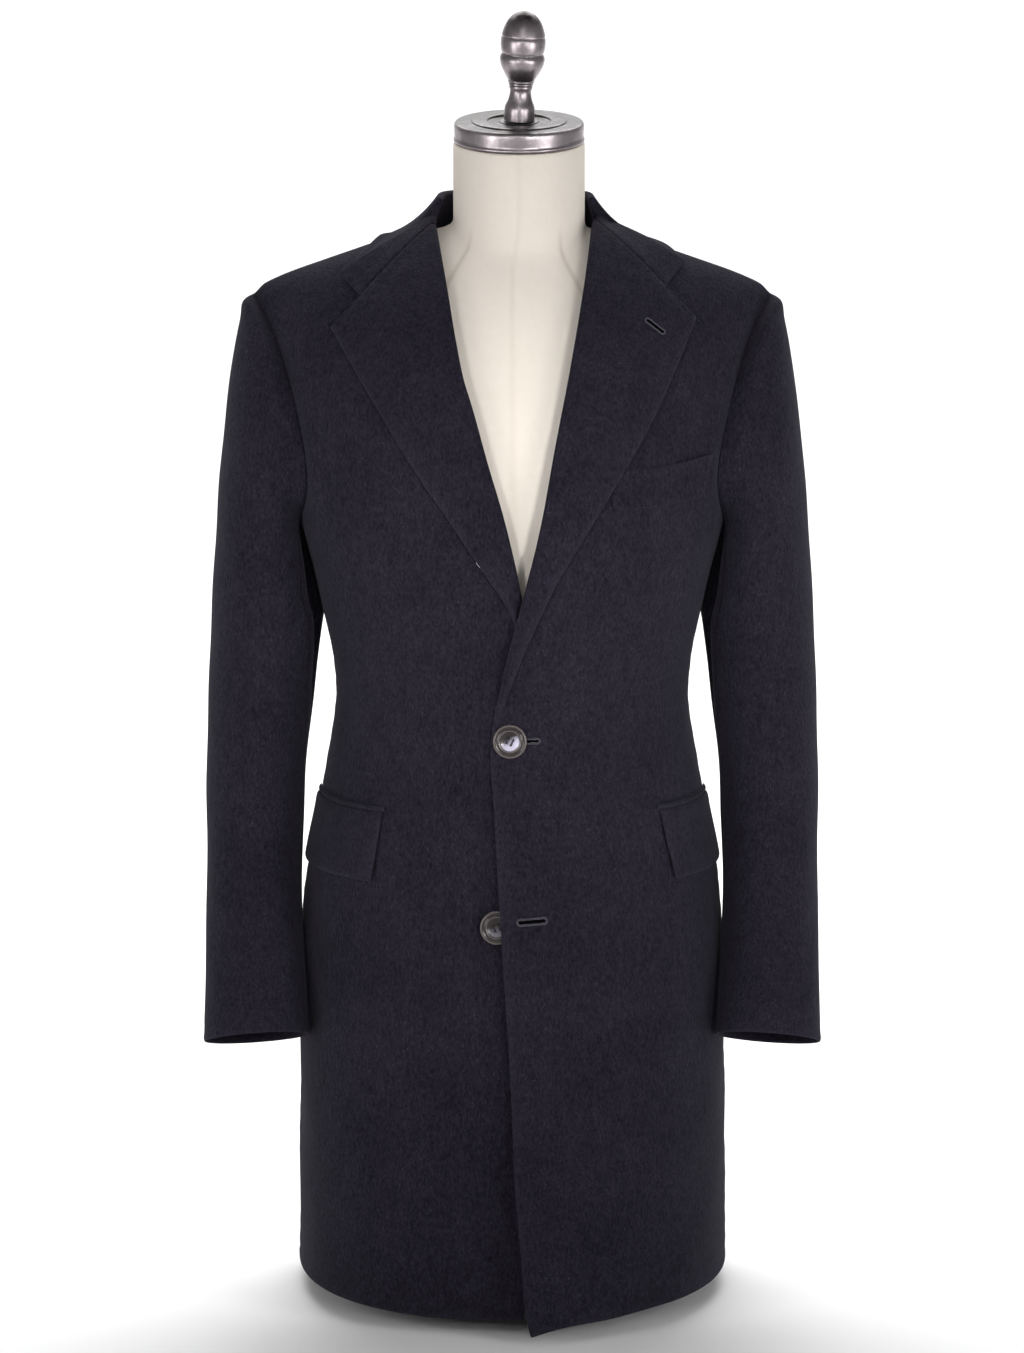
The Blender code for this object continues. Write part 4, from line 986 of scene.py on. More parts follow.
# ---------------------------------------------------------------- pockets
# A jetted pocket with a flap on each hip, and a welt pocket on the left chest, all of the coat's own cloth.
FLAP_TOP, FLAP_BOTTOM, FLAP_END = 0.4648, 0.4035, 1.50
FLAP_FRONTS = {"left": (0.1300, 0.1421), "right": (0.1145, 0.1230)}
FLAP_CLOTH, WELT_CLOTH = 0.0032, 0.0022
JET_HEIGHT = 0.0060
Welt = namedtuple("Welt", "x_bottom z_bottom x_top z_top")
WELT = table(
    Welt,
    (0.0855, 0.7395, 0.0865, 0.7705), (0.1210, 0.7372, 0.1280, 0.7722), (0.1677, 0.7436, 0.1776, 0.7810),
)


def patch_layer(side, x, z, out):
    face, normals = on_front(side, x, z, out)
    return lambda depth: mirrored(side, face - normals * np.asarray(depth)[..., None])


def pocket_strip(top, bottom, x_top, x_bottom, down, share):
    """(x, z) of a level strip from its front edge round to the side seam."""
    z = top + (bottom - top) * down + 0 * share
    level = level_at(0.1, z)
    start = angle_at(x_top + (x_bottom - x_top) * down, level)
    angle = start + (FLAP_END - start) * share
    return half_width(level) * power(np.sin(angle), 2 / ROUNDNESS), z


for side in ("left", "right"):
    x_top, x_bottom = FLAP_FRONTS[side]
    down, share = spread(0.061, 18)[:, None], spread(0.075, 22)[None, :]
    x, z = pocket_strip(FLAP_TOP, FLAP_BOTTOM, x_top, x_bottom, down, share)
    stand_off = 0.0006 + 0.0030 * down**1.5 * (1 - 0.85 * share)
    layer = patch_layer(side, x, z, FLAP_CLOTH + stand_off)
    flap = sew(f"{side}_flap_cloth", layer, ("seam", "edge", "edge", "edge"), FLAP_CLOTH)
    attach(flap, "root")
    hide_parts(f"{side}_flap")
    down, share = spread(0.0063, 3)[:, None], spread(0.075, 22)[None, :]
    start_x, foot = x_top - 0.0025, FLAP_TOP + 0.0003
    x, z = pocket_strip(foot + JET_HEIGHT, foot, start_x, start_x, down, share)
    jet = sew(f"{side}_jet_cloth", patch_layer(side, x, z, CLOTH + 0.0005 + 0 * x), ("seam", "edge", "edge", "edge"))
    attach(jet, "root")
    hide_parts(f"{side}_jet")
    length, area = (0.139, 0.0019) if side == "right" else (0.120, 0.0016)

up, across = spread(0.034, 10)[:, None], spread(0.088, 24)
bottom_x, bottom_z, top_x, top_z = (np.interp(across, (0, 0.45, 1), column)[None, :] for column in zip(*WELT))
x, z = bottom_x * (1 - up) + top_x * up, bottom_z * (1 - up) + top_z * up
layer = patch_layer("left", x, z, 0.0018 + 0 * x)
welt = sew("breast_welt_cloth", layer, ("seam", "edge", "seam", "seam"), WELT_CLOTH)
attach(welt, "root")
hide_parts("breast_welt")


# ---------------------------------------------------------------- buttonholes
# Worked buttonholes, two down the left front and a shorter one on the left lapel: two lips covered in close
# buttonhole stitches of navy silk, with a near-black strip between them on the uncut cloth as painted shade for
# the slit. A stray tacking stitch is left on one lapel.
def on_cloth(layer, x, z, out=0.0):
    """Points of a sheet's outer side at places seen from the front, moved out a little, and their normals."""
    cloth = layer(0.0).reshape(-1, 3)
    points, normals = [], []
    for a, b in zip(x, z):
        near = cloth[np.hypot(cloth[:, 0] - a, cloth[:, 2] - b) < 0.011]
        near = near[near[:, 1] < near[:, 1].min() + 0.006]
        weight = np.exp(-((near[:, 0] - a) ** 2 + (near[:, 2] - b) ** 2) / 0.005**2)
        slopes = np.stack([near[:, 0] - a, near[:, 2] - b, np.ones(len(near))], axis=-1) * weight[:, None]
        dx, dz, y = np.linalg.lstsq(slopes, near[:, 1] * weight, rcond=None)[0]
        normal = unit(np.array([dx, -1.0, dz]))
        points.append(np.array([a, y, b]) + normal * out)
        normals.append(normal)
    return np.array(points), np.array(normals)


def cord_points(path, lift, radius, sides=8):
    """Rings of points round a line. The lift is the direction that the first point of each ring lies in."""
    ahead = unit(np.gradient(path, axis=0))
    up = unit(lift - ahead * np.sum(lift * ahead, axis=-1, keepdims=True))
    aside = np.cross(ahead, up)
    turn = 2 * math.pi * np.arange(sides) / sides
    circle = np.cos(turn)[None, :, None] * up[:, None, :] + np.sin(turn)[None, :, None] * aside[:, None, :]
    return path[:, None, :] + circle * np.broadcast_to(np.asarray(radius, float), len(path))[:, None, None]


def cord_faces(rings, sides, start=0, closed=False):
    index = start + np.arange(rings * sides).reshape(rings, sides)
    if closed:
        index = np.concatenate([index, index[:1]])
    after = np.roll(index, -1, axis=1)
    faces = np.stack([index[:-1], after[:-1], after[1:], index[1:]], axis=-1).reshape(-1, 4).tolist()
    return faces if closed else faces + [index[0, ::-1].tolist(), index[-1].tolist()]


def add_piece(name, points, faces, finish):
    mesh = bpy.data.meshes.new(name)
    mesh.from_pydata(np.asarray(points), [], faces)
    tidy = bmesh.new()
    tidy.from_mesh(mesh)
    bmesh.ops.recalc_face_normals(tidy, faces=tidy.faces)
    tidy.to_mesh(mesh)
    tidy.free()
    mesh.shade_smooth()
    made = bpy.data.objects.new(name, mesh)
    bpy.context.scene.collection.objects.link(made)
    wear(made, finish)
    return made


def round_slit(s, length, bend):
    """Places along and across a slit at distances s round it: one lip, round the end, the other lip, and round."""
    half, end = length / 2, math.pi * bend
    parts = [s < length, s < length + end, s < 2 * length + end]
    far, near = (s - length) / bend - math.pi / 2, (s - 2 * length - end) / bend + math.pi / 2
    along_it = [s - half, half + bend * np.cos(far), half - (s - length - end)]
    across = [-bend + 0 * s, bend * np.sin(far), bend + 0 * s]
    return np.select(parts, along_it, -half + bend * np.cos(near)), np.select(parts, across, bend * np.sin(near))


silk = Finish("navy_silk_thread", Roughness=0.62, Sheen_Weight=0.25, Sheen_Roughness=0.4)
twist = silk.noise(silk.place(), 2600, 2, 0.6)
silk.give(Base_Color=silk.mix(twist, (0.014, 0.012, 0.021, 1), (0.050, 0.045, 0.064, 1)))
silk.give(Normal=silk.relief(twist, 0.0002))
# a near-black finish that paints the shade inside the buttonhole slits
in_shade = Finish("cut_edge_in_shade", Roughness=1.0, Specular_IOR_Level=0.0)
dim = in_shade.noise(in_shade.place(), 500)
in_shade.give(Base_Color=in_shade.mix(dim, (0.0012, 0.001, 0.0018, 1), (0.003, 0.0026, 0.004, 1)))

STITCH, PER_STITCH = 0.00075, 6
SLIT_DEPTH = 0.0004
Hole = namedtuple("Hole", "name x1 z1 x2 z2 gap lip")
HOLES = (
    Hole("waist_buttonhole", -0.0015, 0.5328, 0.0222, 0.5330, 0.0020, 0.00090),
    Hole("lower_buttonhole", 0.0068, 0.3760, 0.0276, 0.3776, 0.0030, 0.00100),
    Hole("lapel_buttonhole", 0.1188, 0.8992, 0.1323, 0.8888, 0.0020, 0.00070),
)
for hole in HOLES:
    layer = lapel_layer("left") if hole.name.startswith("lapel") else body_layer("left", "front")
    along_it = np.array([hole.x2 - hole.x1, hole.z2 - hole.z1])
    length = float(np.hypot(*along_it))
    ahead, aside = along_it / length, np.array([-along_it[1], along_it[0]]) / length
    stitches = int((2 * length + 0.008) / STITCH)
    # the lips run round the slit, a stitch at a time
    half, bend = length / 2, hole.gap / 2 + hole.lip
    s = (np.arange(stitches * PER_STITCH) / (stitches * PER_STITCH)) * (2 * length + 2 * math.pi * bend)
    place_along, across = round_slit(s, length, bend)
    wander = 0.00010 * np.sin(s * 900) + 0.00007 * np.sin(s * 2310 + 1)
    across = across + wander * np.sign(across)
    middle = np.array([hole.x1 + hole.x2, hole.z1 + hole.z2]) / 2
    x = middle[0] + place_along * ahead[0] + across * aside[0]
    z = middle[1] + place_along * ahead[1] + across * aside[1]
    some = np.linspace(0, len(s) - 1, 40).astype(int)
    base, lift = on_cloth(layer, x[some], z[some])
    y = np.interp(np.arange(len(s)), some, base[:, 1])
    lift = unit(np.stack([np.interp(np.arange(len(s)), some, lift[:, k]) for k in range(3)], axis=-1))
    path = np.stack([x, y, z], axis=-1) + lift * hole.lip * 0.35
    stitch = np.abs(np.sin(math.pi * np.arange(len(s)) / PER_STITCH))
    loops = np.concatenate([path[-1:], path, path[:1]])
    rings = cord_points(loops, np.concatenate([lift[-1:], lift, lift[:1]]), hole.lip, 8)[1:-1]
    rings = path[:, None, :] + (rings - path[:, None, :]) * (0.82 + 0.22 * stitch)[:, None, None]
    faces = cord_faces(len(path), 8, closed=True)
    lips = add_piece(hole.name, rings.reshape(-1, 3), faces, silk)
    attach(lips, "root")
    # the slit between the lips is not cut: a near-black strip laid on the cloth is painted shade standing in for it
    t = np.linspace(-half - bend * 0.6, half + bend * 0.6, 12)
    x, z = middle[0] + t * ahead[0], middle[1] + t * ahead[1]
    base, lift = on_cloth(layer, x, z, 0.00012)
    side_way = np.cross(lift, np.array([ahead[0], 0, ahead[1]])) * bend
    first, second = base - side_way, base + side_way
    strip = np.stack([first, second, second - lift * SLIT_DEPTH, first - lift * SLIT_DEPTH], axis=1)
    cut = add_piece(f"{hole.name}_slit", strip.reshape(-1, 3), cord_faces(12, 4), in_shade)
    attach(cut, "root")

tack = Finish("tacking_thread", Roughness=0.7)
tack.give(Base_Color=tack.mix(tack.noise(tack.place(), 1500), (0.25, 0.24, 0.28, 1), (0.50, 0.48, 0.52, 1)))
x, z = np.linspace(-0.0315, -0.0282, 9), np.linspace(0.6925, 0.6882, 9)
path, lift = on_cloth(lapel_layer("right"), x, z, 0.0002)
path = path + lift * (0.0005 * np.sin(np.linspace(0, math.pi, 9)))[:, None]
rings = cord_points(path, lift, 0.00022, 6)
stray = add_piece("stray_stitch", rings.reshape(-1, 3), cord_faces(9, 6), tack)
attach(stray, "root")


# ---------------------------------------------------------------- buttons
# Two four-hole buttons turned from dark horn, dished inside a raised double rim and polished, each sewn to its
# front through all four holes with a few turns of navy thread.
def turn_on_lathe(name, profile, steps, place=(0, 0, 0), lean=0.0, roll=0.0):
    """A turned piece: a round disc drawn out ring by ring down its profile, then set in its place."""
    rings = [point for point in profile if point[0] > 0]
    made = start_shape(bpy.ops.mesh.primitive_circle_add, name, vertices=steps, radius=rings[0][0], location=(0, 0, 0))
    edit(made)
    bpy.ops.mesh.select_mode(type="VERT")
    bpy.ops.mesh.select_all(action="SELECT")
    bpy.ops.transform.translate(value=(0, 0, rings[0][1]))
    bpy.ops.mesh.edge_face_add()
    bpy.ops.mesh.inset(thickness=rings[0][0] * 0.35)
    shape = bmesh.from_edit_mesh(made.data)
    bpy.ops.mesh.select_mode(type="EDGE")
    pick(shape, made, shape.edges, lambda e: e.is_boundary)
    before = rings[0]
    for ring in rings[1:]:
        bpy.ops.mesh.extrude_region_move(TRANSFORM_OT_translate={"value": (0, 0, ring[1] - before[1])})
        share = ring[0] / before[0]
        bpy.ops.transform.resize(value=(share, share, 1), center_override=(0, 0, 0))
        before = ring
    bpy.ops.mesh.edge_face_add()
    bpy.ops.mesh.inset(thickness=before[0] * 0.35)
    bpy.ops.mesh.select_all(action="SELECT")
    bpy.ops.mesh.normals_make_consistent(inside=False)
    set_in_place(place, (lean, "X"), (roll, "Y"))
    return made


def set_in_place(place, *turns):
    """Turns what is selected in edit mode about the origin, in the usual sense, moves it and ends edit mode."""
    for angle, axis in turns:
        bpy.ops.transform.rotate(value=-angle, orient_axis=axis, orient_type="GLOBAL", center_override=(0, 0, 0))
    bpy.ops.transform.translate(value=tuple(place))
    bpy.ops.object.mode_set(mode="OBJECT")


def softened(profile, rounds=2, keep=0.22):
    """A profile whose corners are cut back a little, so that it turns round them."""
    points = np.array(profile, float)
    for _ in range(rounds):
        first, second = points[:-1], points[1:]
        middle = np.stack([first * (1 - keep) + second * keep, first * keep + second * (1 - keep)], axis=1)
        points = np.concatenate([points[:1], middle.reshape(-1, 2), points[-1:]])
    return [tuple(point) for point in points]


BUTTON = (  # radius, and height above the button's back
    (0.0004, 0.0026), (0.0052, 0.0027), (0.0082, 0.0032), (0.0096, 0.0041), (0.0107, 0.0042), (0.0116, 0.0037),
    (0.0126, 0.0041), (0.0138, 0.0041), (0.0148, 0.0031), (0.0150, 0.0022), (0.0138, 0.0008), (0.0080, 0.0000),
    (0.0004, 0.0000),
)
STRAND_RINGS, STRAND_SIDES, STRAND_RADIUS = 26, 7, 0.00034
STRANDS = ((-0.00052, 0.0), (0.00050, 0.00006), (0.00002, 0.00042), (-0.00025, 0.00030))
STRAND_RISE = (
    (0, -0.0010), (0.16, 0.0016), (0.30, 0.0031), (0.5, 0.0034), (0.70, 0.0031), (0.84, 0.0016), (1, -0.0010),
)
HOLE_RADIUS, HOLE_SPREAD = 0.0012, 0.0023
Sewn = namedtuple("Sewn", "name side x z gap turn pale")
BUTTONS = (
    Sewn("waist_button", "left", -0.0022, 0.5327, 0.0015, -26, 1.0),
    Sewn("lower_button", "right", 0.0135, 0.3694, 0.0005, 18, 0.25),
)


def horn_finish(name, middle, pale):
    """Dark polished horn with a lilac-white patch below its middle, partly milky horn and partly a painted reflection,
    and with painted highlights on its two raised rims.
    """
    horn = Finish(name, Roughness=0.30, Specular_IOR_Level=0.35, Coat_Weight=0.25, Coat_Roughness=0.12)
    shift = horn.node("ShaderNodeVectorMath", {"operation": "SUBTRACT"}, {0: horn.place(), 1: middle})
    apart = horn.part_of(shift, 0), horn.part_of(shift, 2)
    clouds_in_horn = horn.noise(horn.place((1, 1, 2.2)), 190, 3, 0.55)
    fine = horn.noise(horn.place((1, 1, 0.6)), 900, 2, 0.5)
    from_middle = horn.node("ShaderNodeVectorMath", {"operation": "LENGTH"}, {0: shift}, 1)
    down = apart[0] * 55 - apart[1] * 95 + (clouds_in_horn - 0.5) * 0.8 + (fine - 0.5) * 0.2
    # the pale patch is partly milky horn and partly a painted reflection of the lights
    milk_and_painted_reflection = down.between(-0.45, 0.45) * from_middle.between(0.0100, 0.0080) * pale
    brown = horn.mix(clouds_in_horn, (0.004, 0.003, 0.003, 1), (0.024, 0.017, 0.015, 1))
    # painted highlights: the outer and inner raised rims are painted lighter where light would catch them
    inner_rim_highlight = from_middle.between(0.0099, 0.0102) * from_middle.between(0.0109, 0.0106)
    rim = from_middle.between(0.0137, 0.0143) + inner_rim_highlight
    brown = horn.mix(rim * 0.42, brown, (0.26, 0.22, 0.21, 1))
    horn.give(Base_Color=horn.mix(milk_and_painted_reflection, brown, (0.46, 0.43, 0.54, 1)))
    horn.give(Roughness=fine * 0.10 + 0.24)
    horn.give(Normal=horn.relief(fine, 0.00004))
    return horn


blank = turn_on_lathe("button_blank", softened(BUTTON, 2), 64)
for x, y in ((1, 1), (1, -1), (-1, 1), (-1, -1)):
    drill = start_shape(
        bpy.ops.mesh.primitive_cylinder_add,
        "drill",
        vertices=20,
        radius=HOLE_RADIUS,
        depth=0.02,
        location=(x * HOLE_SPREAD, y * HOLE_SPREAD, 0),
    )
    select_none()
    blank.select_set(True)
    bpy.context.view_layer.objects.active = blank
    cut = blank.modifiers.new("hole", "BOOLEAN")
    cut.operation, cut.solver, cut.object = "DIFFERENCE", "EXACT", drill
    bpy.ops.object.modifier_apply(modifier=cut.name)
    bpy.data.objects.remove(drill, do_unlink=True)
for button in BUTTONS:
    seat, normal = on_front(button.side, np.array(button.x), np.array(button.z), button.gap)
    seat, normal = mirrored(button.side, seat), mirrored(button.side, normal)
    lean, heading = math.pi / 2 - math.atan2(normal[2], -normal[1]), math.atan2(normal[0], -normal[1])
    disc = blank
    if button is not BUTTONS[-1]:
        disc = blank.copy()
        disc.data = blank.data.copy()
        bpy.context.scene.collection.objects.link(disc)
    disc.name = disc.data.name = button.name + "_horn"
    select_none()
    disc.select_set(True)
    shape = edit(disc)
    pick(shape, disc, shape.faces, lambda f: True)
    set_in_place(seat, (math.radians(button.turn), "Z"), (lean, "X"), (heading, "Z"))
    bpy.ops.object.shade_smooth_by_angle(angle=math.radians(38))
    wear(disc, horn_finish(button.name + "_finish", tuple(seat), button.pale))
    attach(disc, "root")
    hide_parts(button.name)
    # two bars of thread over the middle, each up through one hole and down through the next
    strands, faces = [], []
    spin = math.radians(button.turn)
    into, level_x = np.array([math.cos(heading), math.sin(heading), 0.0]), np.array(normal)
    level_z = np.cross(level_x, into)
    across_way = math.cos(spin) * into + math.sin(spin) * level_z
    up_way = -math.sin(spin) * into + math.cos(spin) * level_z
    t = np.linspace(0, 1, STRAND_RINGS)
    swing = 0.0042 * np.sin(0.5 * math.pi * (2 * t - 1)) * 0.54
    height = np.interp(t, *zip(*STRAND_RISE))
    for bar in (-1, 1):
        for k, (off, high) in enumerate(STRANDS):
            place_in = bar * HOLE_SPREAD + off * (1 + 0.2 * np.sin(5 * t + k))
            line = seat + place_in[:, None] * across_way + swing[:, None] * up_way + (height + high)[:, None] * normal
            rings = cord_points(line, np.tile(normal, (STRAND_RINGS, 1)), STRAND_RADIUS, STRAND_SIDES)
            faces += cord_faces(STRAND_RINGS, STRAND_SIDES, start=STRAND_RINGS * STRAND_SIDES * len(strands))
            strands.append(rings.reshape(-1, 3))
    thread = add_piece(f"{button.name}_thread", np.concatenate(strands), faces, silk)
    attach(thread, "root")


# ---------------------------------------------------------------- dress form
# The limbless form that the coat stands on: a moulded body with cream canvas stretched over it, sewn in long
# seams down the middle, the sides and between them, and tucked in under the cap at the neck.
NECK_RADIUS, NECK_SHIFT = 0.0590, 0.0060
CAP_TOP, CAP_HEIGHT = 1.0714, 0.0180
LEAN = math.radians(10)
FORM_ROUND = 144
FORM_FOOT, FORM_LOW = 0.300, 0.312
FORM_MIDDLE = 0.0031
FORM_GIRTH = 0.95
THREAD_PITCH = 0.00075


def inside_coat(x, y, z):
    """True where a point lies inside the coat with room to spare."""
    level = level_at(x, z + 0.0064)
    width, at, behind = half_width(level), torso(0.0, level)[..., 1], torso(math.pi, level)[..., 1]
    middle = along(SECTIONS, "middle", np.minimum(z, ARMPIT))
    depth = np.where(y < middle, middle - at, behind - middle) - 0.013
    reach = (np.abs(y - middle) / np.maximum(depth, 1e-4)) ** ROUNDNESS
    return (reach + (np.abs(x) / (width - 0.013)) ** ROUNDNESS < 1) & (np.abs(x) < 0.180) & (level < 2)


def form_ring(z):
    """One level ring of the form: the torso, eased into the round neck."""
    turn = 2 * math.pi * np.arange(FORM_ROUND) / FORM_ROUND
    low, high = np.zeros(FORM_ROUND), np.full(FORM_ROUND, 0.3)
    for _ in range(22):
        reach = (low + high) / 2
        inside = inside_coat(reach * np.sin(turn), FORM_MIDDLE - reach * np.cos(turn), z)
        low, high = np.where(inside, reach, low), np.where(inside, high, reach)
    neck = NECK_RADIUS + NECK_SHIFT * np.sin(turn) if z > 0.90 else 0 * turn
    blend = 12 if z > 0.90 else 1
    return turn, (low**blend + neck**blend) ** (1 / blend)


heights = [*np.linspace(FORM_LOW, 0.880, 72), *np.linspace(0.884, 0.996, 42), 1.002, 1.010, 1.018, 1.025]
foot = [(FORM_FOOT + 0.012 * (1 - math.cos(a)), 0.94 + 0.06 * math.sin(a)) for a in np.linspace(0, 1.45, 7)]
rows = []
for z, share in foot + [(z, 1.0) for z in heights]:
    turn, radius = form_ring(max(z, FORM_LOW))
    x, y = share * radius * np.sin(turn), FORM_MIDDLE - share * radius * np.cos(turn)
    rows.append(np.stack([x, y, z + 0 * turn], axis=-1))
cap_floor = CAP_TOP - CAP_HEIGHT * math.cos(LEAN) - 0.0004
x, y = NECK_RADIUS * np.sin(turn), -NECK_RADIUS * np.cos(turn) * math.cos(LEAN)
top = np.stack([x, y, cap_floor - NECK_RADIUS * np.cos(turn) * math.sin(LEAN)], axis=-1)
middle = np.array([NECK_SHIFT, FORM_MIDDLE, 0])
top += middle
last = rows[-1]
for share in (0.25, 0.5, 0.75, 0.90, 0.965, 0.99, 1.0):
    rows.append(last + (top - last) * share)
skin = np.array(rows)
# the canvas turns in over the top edge of the neck, and dips along its seams
for k, draw in ((-1, 0.0030), (-2, 0.0014), (-3, 0.0005)):
    skin[k, :, :2] -= unit(skin[k, :, :2] - middle[:2]) * draw
sideways = unit(skin[:, :, :2] - np.array([0, FORM_MIDDLE]))
stitched = np.zeros(skin.shape[:2])
for seam_turn in (0, 42.5, 90, 137.5, 180, 222.5, 270, 317.5):
    arc = np.abs((np.degrees(turn) - seam_turn + 180) % 360 - 180) * math.pi / 180
    distance = arc[None, :] * np.linalg.norm(skin[:, :, :2], axis=2)
    strength = smooth(skin[..., 2], 0.985, 0.955)
    if seam_turn == 0:
        shift = NECK_SHIFT * smooth(skin[..., 2], 0.93, 0.99)
        distance, strength = np.where(skin[..., 1] < 0, np.abs(skin[..., 0] - shift), 1), 0.3
    stitched = np.maximum(stitched, np.exp(-((distance / 0.0020) ** 2)) * strength)
skin[..., :2] -= sideways * (0.0008 * stitched)[..., None]
rings = len(skin)
index = np.arange(rings * FORM_ROUND).reshape(rings, FORM_ROUND)
faces = cord_faces(rings, FORM_ROUND)[:-2]
closing = []
for ring, centre in ((index[0, ::-1], skin[0].mean(axis=0)), (index[-1], skin[-1].mean(axis=0))):
    number = skin.size // 3 + len(closing)
    closing.append(centre)
    faces += [[int(a), int(b), number] for a, b in zip(ring, np.roll(ring, -1))]
canvas = Finish("cream_canvas", Roughness=0.92, Specular_IOR_Level=0.15, Sheen_Weight=0.08, Sheen_Roughness=0.6)
painted_seam_shade = canvas.marked("seam")
cloth_map = canvas.node("ShaderNodeUVMap", {"uv_map": "canvas_threads"})
slub = canvas.noise(canvas.place(), 160, 3, 0.6)
threads = [(canvas.part_of(cloth_map, k) + slub * 0.0006) * (2 * math.pi / THREAD_PITCH) for k in (0, 1)]
warp, weft = (canvas.node("ShaderNodeMath", {"operation": "SINE"}, {0: thread}) for thread in threads)
woven = warp * weft * 0.5 + 0.5
soil = canvas.noise(canvas.place(), 9, 3, 0.55)
shade = (woven - 0.5) * 0.22 + (slub - 0.5) * 0.35 + (soil - 0.5) * 0.30 + 0.5
cream = canvas.mix(shade.kept(), (0.80, 0.715, 0.620, 1), (0.94, 0.875, 0.800, 1))
# painted shade: the canvas is painted darker along its seams, where they dip
canvas.give(Base_Color=canvas.mix(painted_seam_shade * 0.45, cream, (0.50, 0.43, 0.33, 1)))
canvas.give(Normal=canvas.relief(woven + slub * 0.4, 0.00016))
form = add_piece("form_canvas", np.concatenate([skin.reshape(-1, 3), np.array(closing)]), faces, canvas)
near_seam = np.concatenate([stitched.reshape(-1), [0, 0]]).astype(np.float32)
form.data.attributes.new("seam", "FLOAT", "POINT").data.foreach_set("value", near_seam)
flat_map = form.data.uv_layers.new(name="canvas_threads")
numbers = np.array([loop.vertex_index for loop in form.data.loops])
column = numbers % FORM_ROUND
u = column * (FORM_GIRTH / FORM_ROUND)
polygon = np.repeat(np.arange(len(form.data.polygons)), [p.loop_total for p in form.data.polygons])
lowest, highest = np.full(polygon[-1] + 1, 1e9), np.full(polygon[-1] + 1, -1e9)
np.minimum.at(lowest, polygon, column)
np.maximum.at(highest, polygon, column)
wraps = (highest - lowest)[polygon] > FORM_ROUND / 2
u = np.where(wraps & (column < FORM_ROUND / 2), u + FORM_GIRTH, u)
v = np.concatenate([skin[..., 2].reshape(-1), [0, 1]])[numbers]
flat_map.data.foreach_set("uv", np.stack([u, v], axis=-1).reshape(-1).astype(np.float32))
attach(form, "root")
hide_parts("form_body")


# ---------------------------------------------------------------- neck cap and finial
# A cast pewter cap with turned rings closes the neck, and a cast finial screws down on it. Both are dark with
# patina in their hollows; what faces up is painted darker as shade, and the cap's top rings are painted bright as
# highlights.
CAP = (
    (0.0165, 0.0000), (0.0176, -0.0001), (0.0181, -0.0012), (0.0278, -0.0012), (0.0284, 0.0006), (0.0292, 0.0008),
    (0.0415, 0.0007), (0.0424, 0.0004), (0.0428, -0.0008), (0.0545, -0.0006), (0.0568, -0.0010), (0.0580, -0.0024),
    (0.0583, -0.0045), (0.0578, -0.0148), (0.0581, -0.0152), (0.0587, -0.0158), (0.0586, -0.0174),
    (0.0570, -0.0180),
)
FINIAL = (
    (0.0020, 0.0984), (0.0088, 0.0960), (0.0136, 0.0915), (0.0165, 0.0865), (0.0183, 0.0814), (0.0192, 0.0780),
    (0.0194, 0.0768), (0.0184, 0.0760), (0.0196, 0.0751), (0.0200, 0.0720), (0.0200, 0.0680), (0.0196, 0.0645),
    (0.0191, 0.0622), (0.0180, 0.0608), (0.0191, 0.0596), (0.0199, 0.0575), (0.0201, 0.0555), (0.0194, 0.0512),
    (0.0178, 0.0473), (0.0158, 0.0434), (0.0137, 0.0397), (0.0118, 0.0366), (0.0120, 0.0352), (0.0109, 0.0344),
    (0.0112, 0.0330), (0.0103, 0.0320), (0.0106, 0.0306), (0.0097, 0.0280), (0.0095, 0.0258), (0.0100, 0.0220),
    (0.0110, 0.0181), (0.0127, 0.0146), (0.0134, 0.0125), (0.0137, 0.0100), (0.0137, 0.0009),
)
pewter = Finish("old_pewter", Metallic=1.0, Roughness=0.36)
mottle = pewter.noise(pewter.place(), 130, 4, 0.62)
stains = pewter.noise(pewter.place((1, 1, 1.6)), 34, 3, 0.5)
scuffs = pewter.noise(pewter.place((1, 1, 9)), 260, 2, 0.6)
dull = pewter.marked("dull")
# the dark end of this mix is real patina in the hollows and random tarnish, with painted shade on what faces up and
# painted highlights along the cap's top rings
tarnish_and_painted_light = dull + (mottle - 0.5) * 0.75 + (stains - 0.5) * 0.55 + (scuffs - 0.5) * 0.25
pewter.give(Base_Color=pewter.mix(tarnish_and_painted_light.kept(), (0.44, 0.39, 0.41, 1), (0.016, 0.0125, 0.0115, 1)))
pewter.give(Roughness=(mottle * 0.16 + 0.24).kept(0.2, 0.6))
pewter.give(Normal=pewter.relief(mottle * 0.6 + scuffs * 0.3, 0.00022))
top_centre = (NECK_SHIFT, 0.0, CAP_TOP)


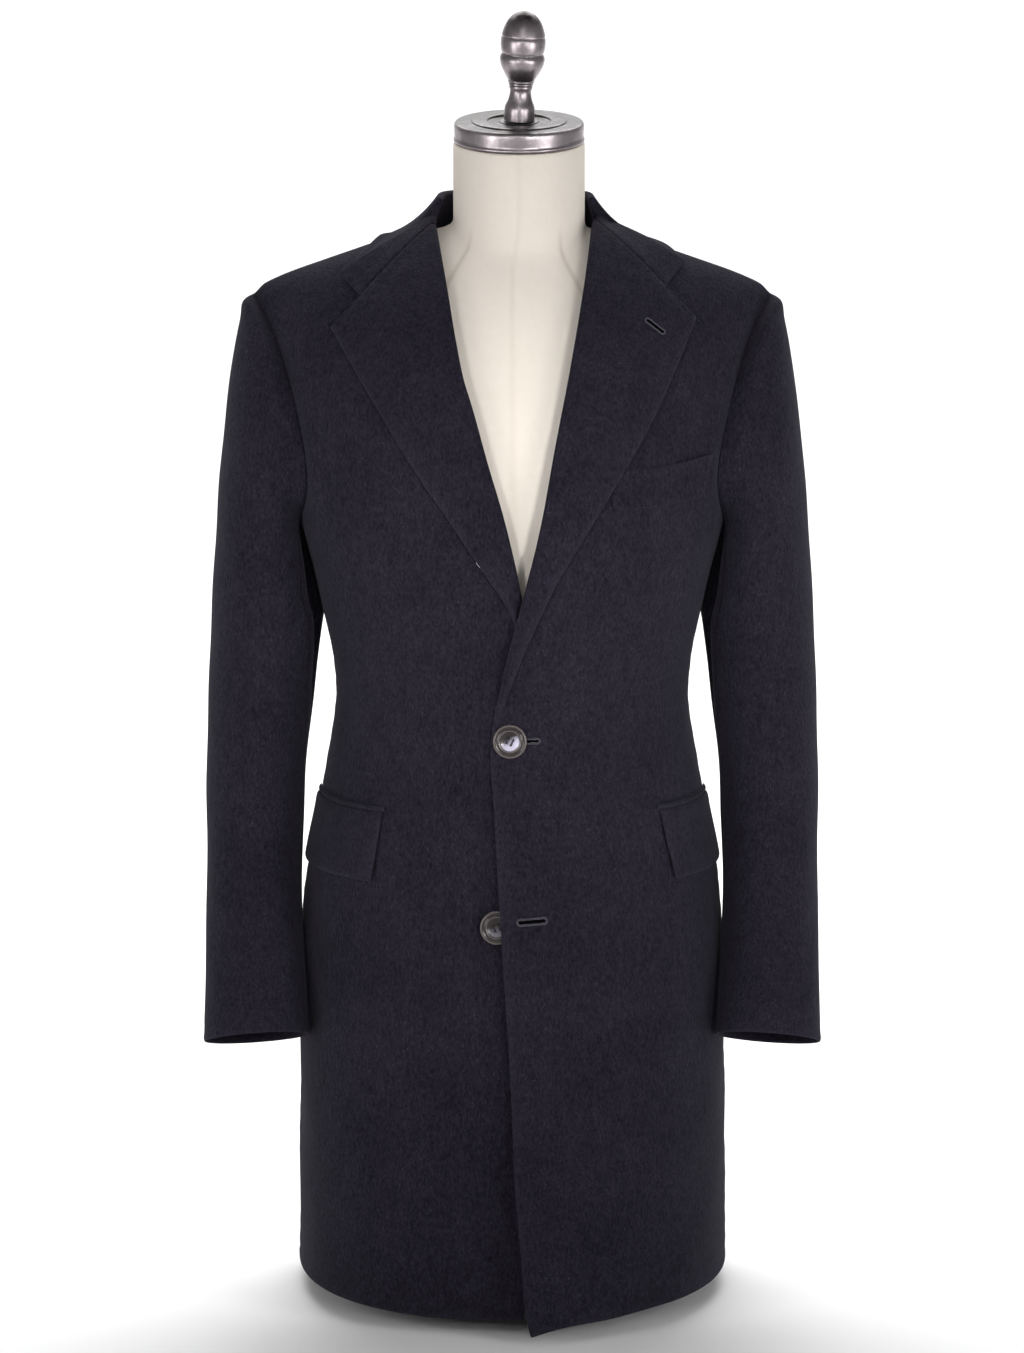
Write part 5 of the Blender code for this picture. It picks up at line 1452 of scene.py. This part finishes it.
def mark_patina_and_painted_light(made, profile, axis_foot):
    """Marks each point of a turned piece: patina in its hollows, painted shade where it faces up, and painted
    highlights along the rings of a flat top.
    """
    profile = np.array(profile)
    out = profile[:, 0]
    wide = np.array([out[np.abs(profile[:, 1] - h) < 0.0035].max() for h in profile[:, 1]])
    hollow = np.clip((wide - out) / 0.0035, 0, 1)
    points = np.array([v.co for v in made.data.vertices]) - np.array(axis_foot)
    normals = np.array([v.normal for v in made.data.vertices])
    axis = np.array([0, -math.sin(LEAN), math.cos(LEAN)])
    height, order = points @ axis, np.argsort(profile[:, 1], kind="stable")
    in_hollow = np.interp(height, profile[order, 1], hollow[order])
    facing = np.clip(normals @ axis, 0, 1)
    from_axis = np.linalg.norm(points - height[:, None] * axis, axis=1)
    # painted highlights: lighter lines along the raised rings of the cap's flat top
    ring_highlights = sum(np.exp(-(((from_axis - at) / 0.0007) ** 2)) for at in (0.0179, 0.0286, 0.0424, 0.0570))
    # painted shade: the flat top and the finial's dome are darker where they face up
    flat_top = smooth(facing, 0.55, 0.9) * (height < 0.002)
    dome = smooth(facing, 0.25, 0.8) * (height > 0.078)
    value = 0.10 + 0.50 * in_hollow + flat_top * (1.10 - 0.50 * ring_highlights) + 0.55 * dome
    value = np.clip(value, 0, 1).astype(np.float32)
    made.data.attributes.new("dull", "FLOAT", "POINT").data.foreach_set("value", value)


for name, profile, steps, roll in (("neck_cap", CAP, 160, 0.0), ("finial", FINIAL, 96, math.radians(3))):
    profile = softened(profile, 1, 0.22)
    turned = turn_on_lathe(f"{name}_pewter", profile, steps, top_centre, LEAN, roll)
    bpy.ops.object.shade_smooth_by_angle(angle=math.radians(50))
    wear(turned, pewter)
    mark_patina_and_painted_light(turned, profile, top_centre)
    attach(turned, "root")
    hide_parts(name)


# ---------------------------------------------------------------- pole and base
# A steel pole stands in a heavy round base and holds the form at its height. Both are painted satin grey.
painted = Finish("grey_paint", Roughness=0.42, Coat_Weight=0.15)
mist = painted.noise(painted.place(), 60, 3, 0.5)
peel = painted.noise(painted.place(), 420, 2, 0.5)
painted.give(Base_Color=painted.mix(mist, (0.17, 0.17, 0.175, 1), (0.24, 0.24, 0.245, 1)))
painted.give(Roughness=peel * 0.12 + 0.36)
painted.give(Normal=painted.relief(peel, 0.00012))
for name in ("pole", "stand_base"):
    for held in bpy.data.objects[name].material_slots:
        held.material = painted.material


# ---------------------------------------------------------------- size, and the end
low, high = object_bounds()
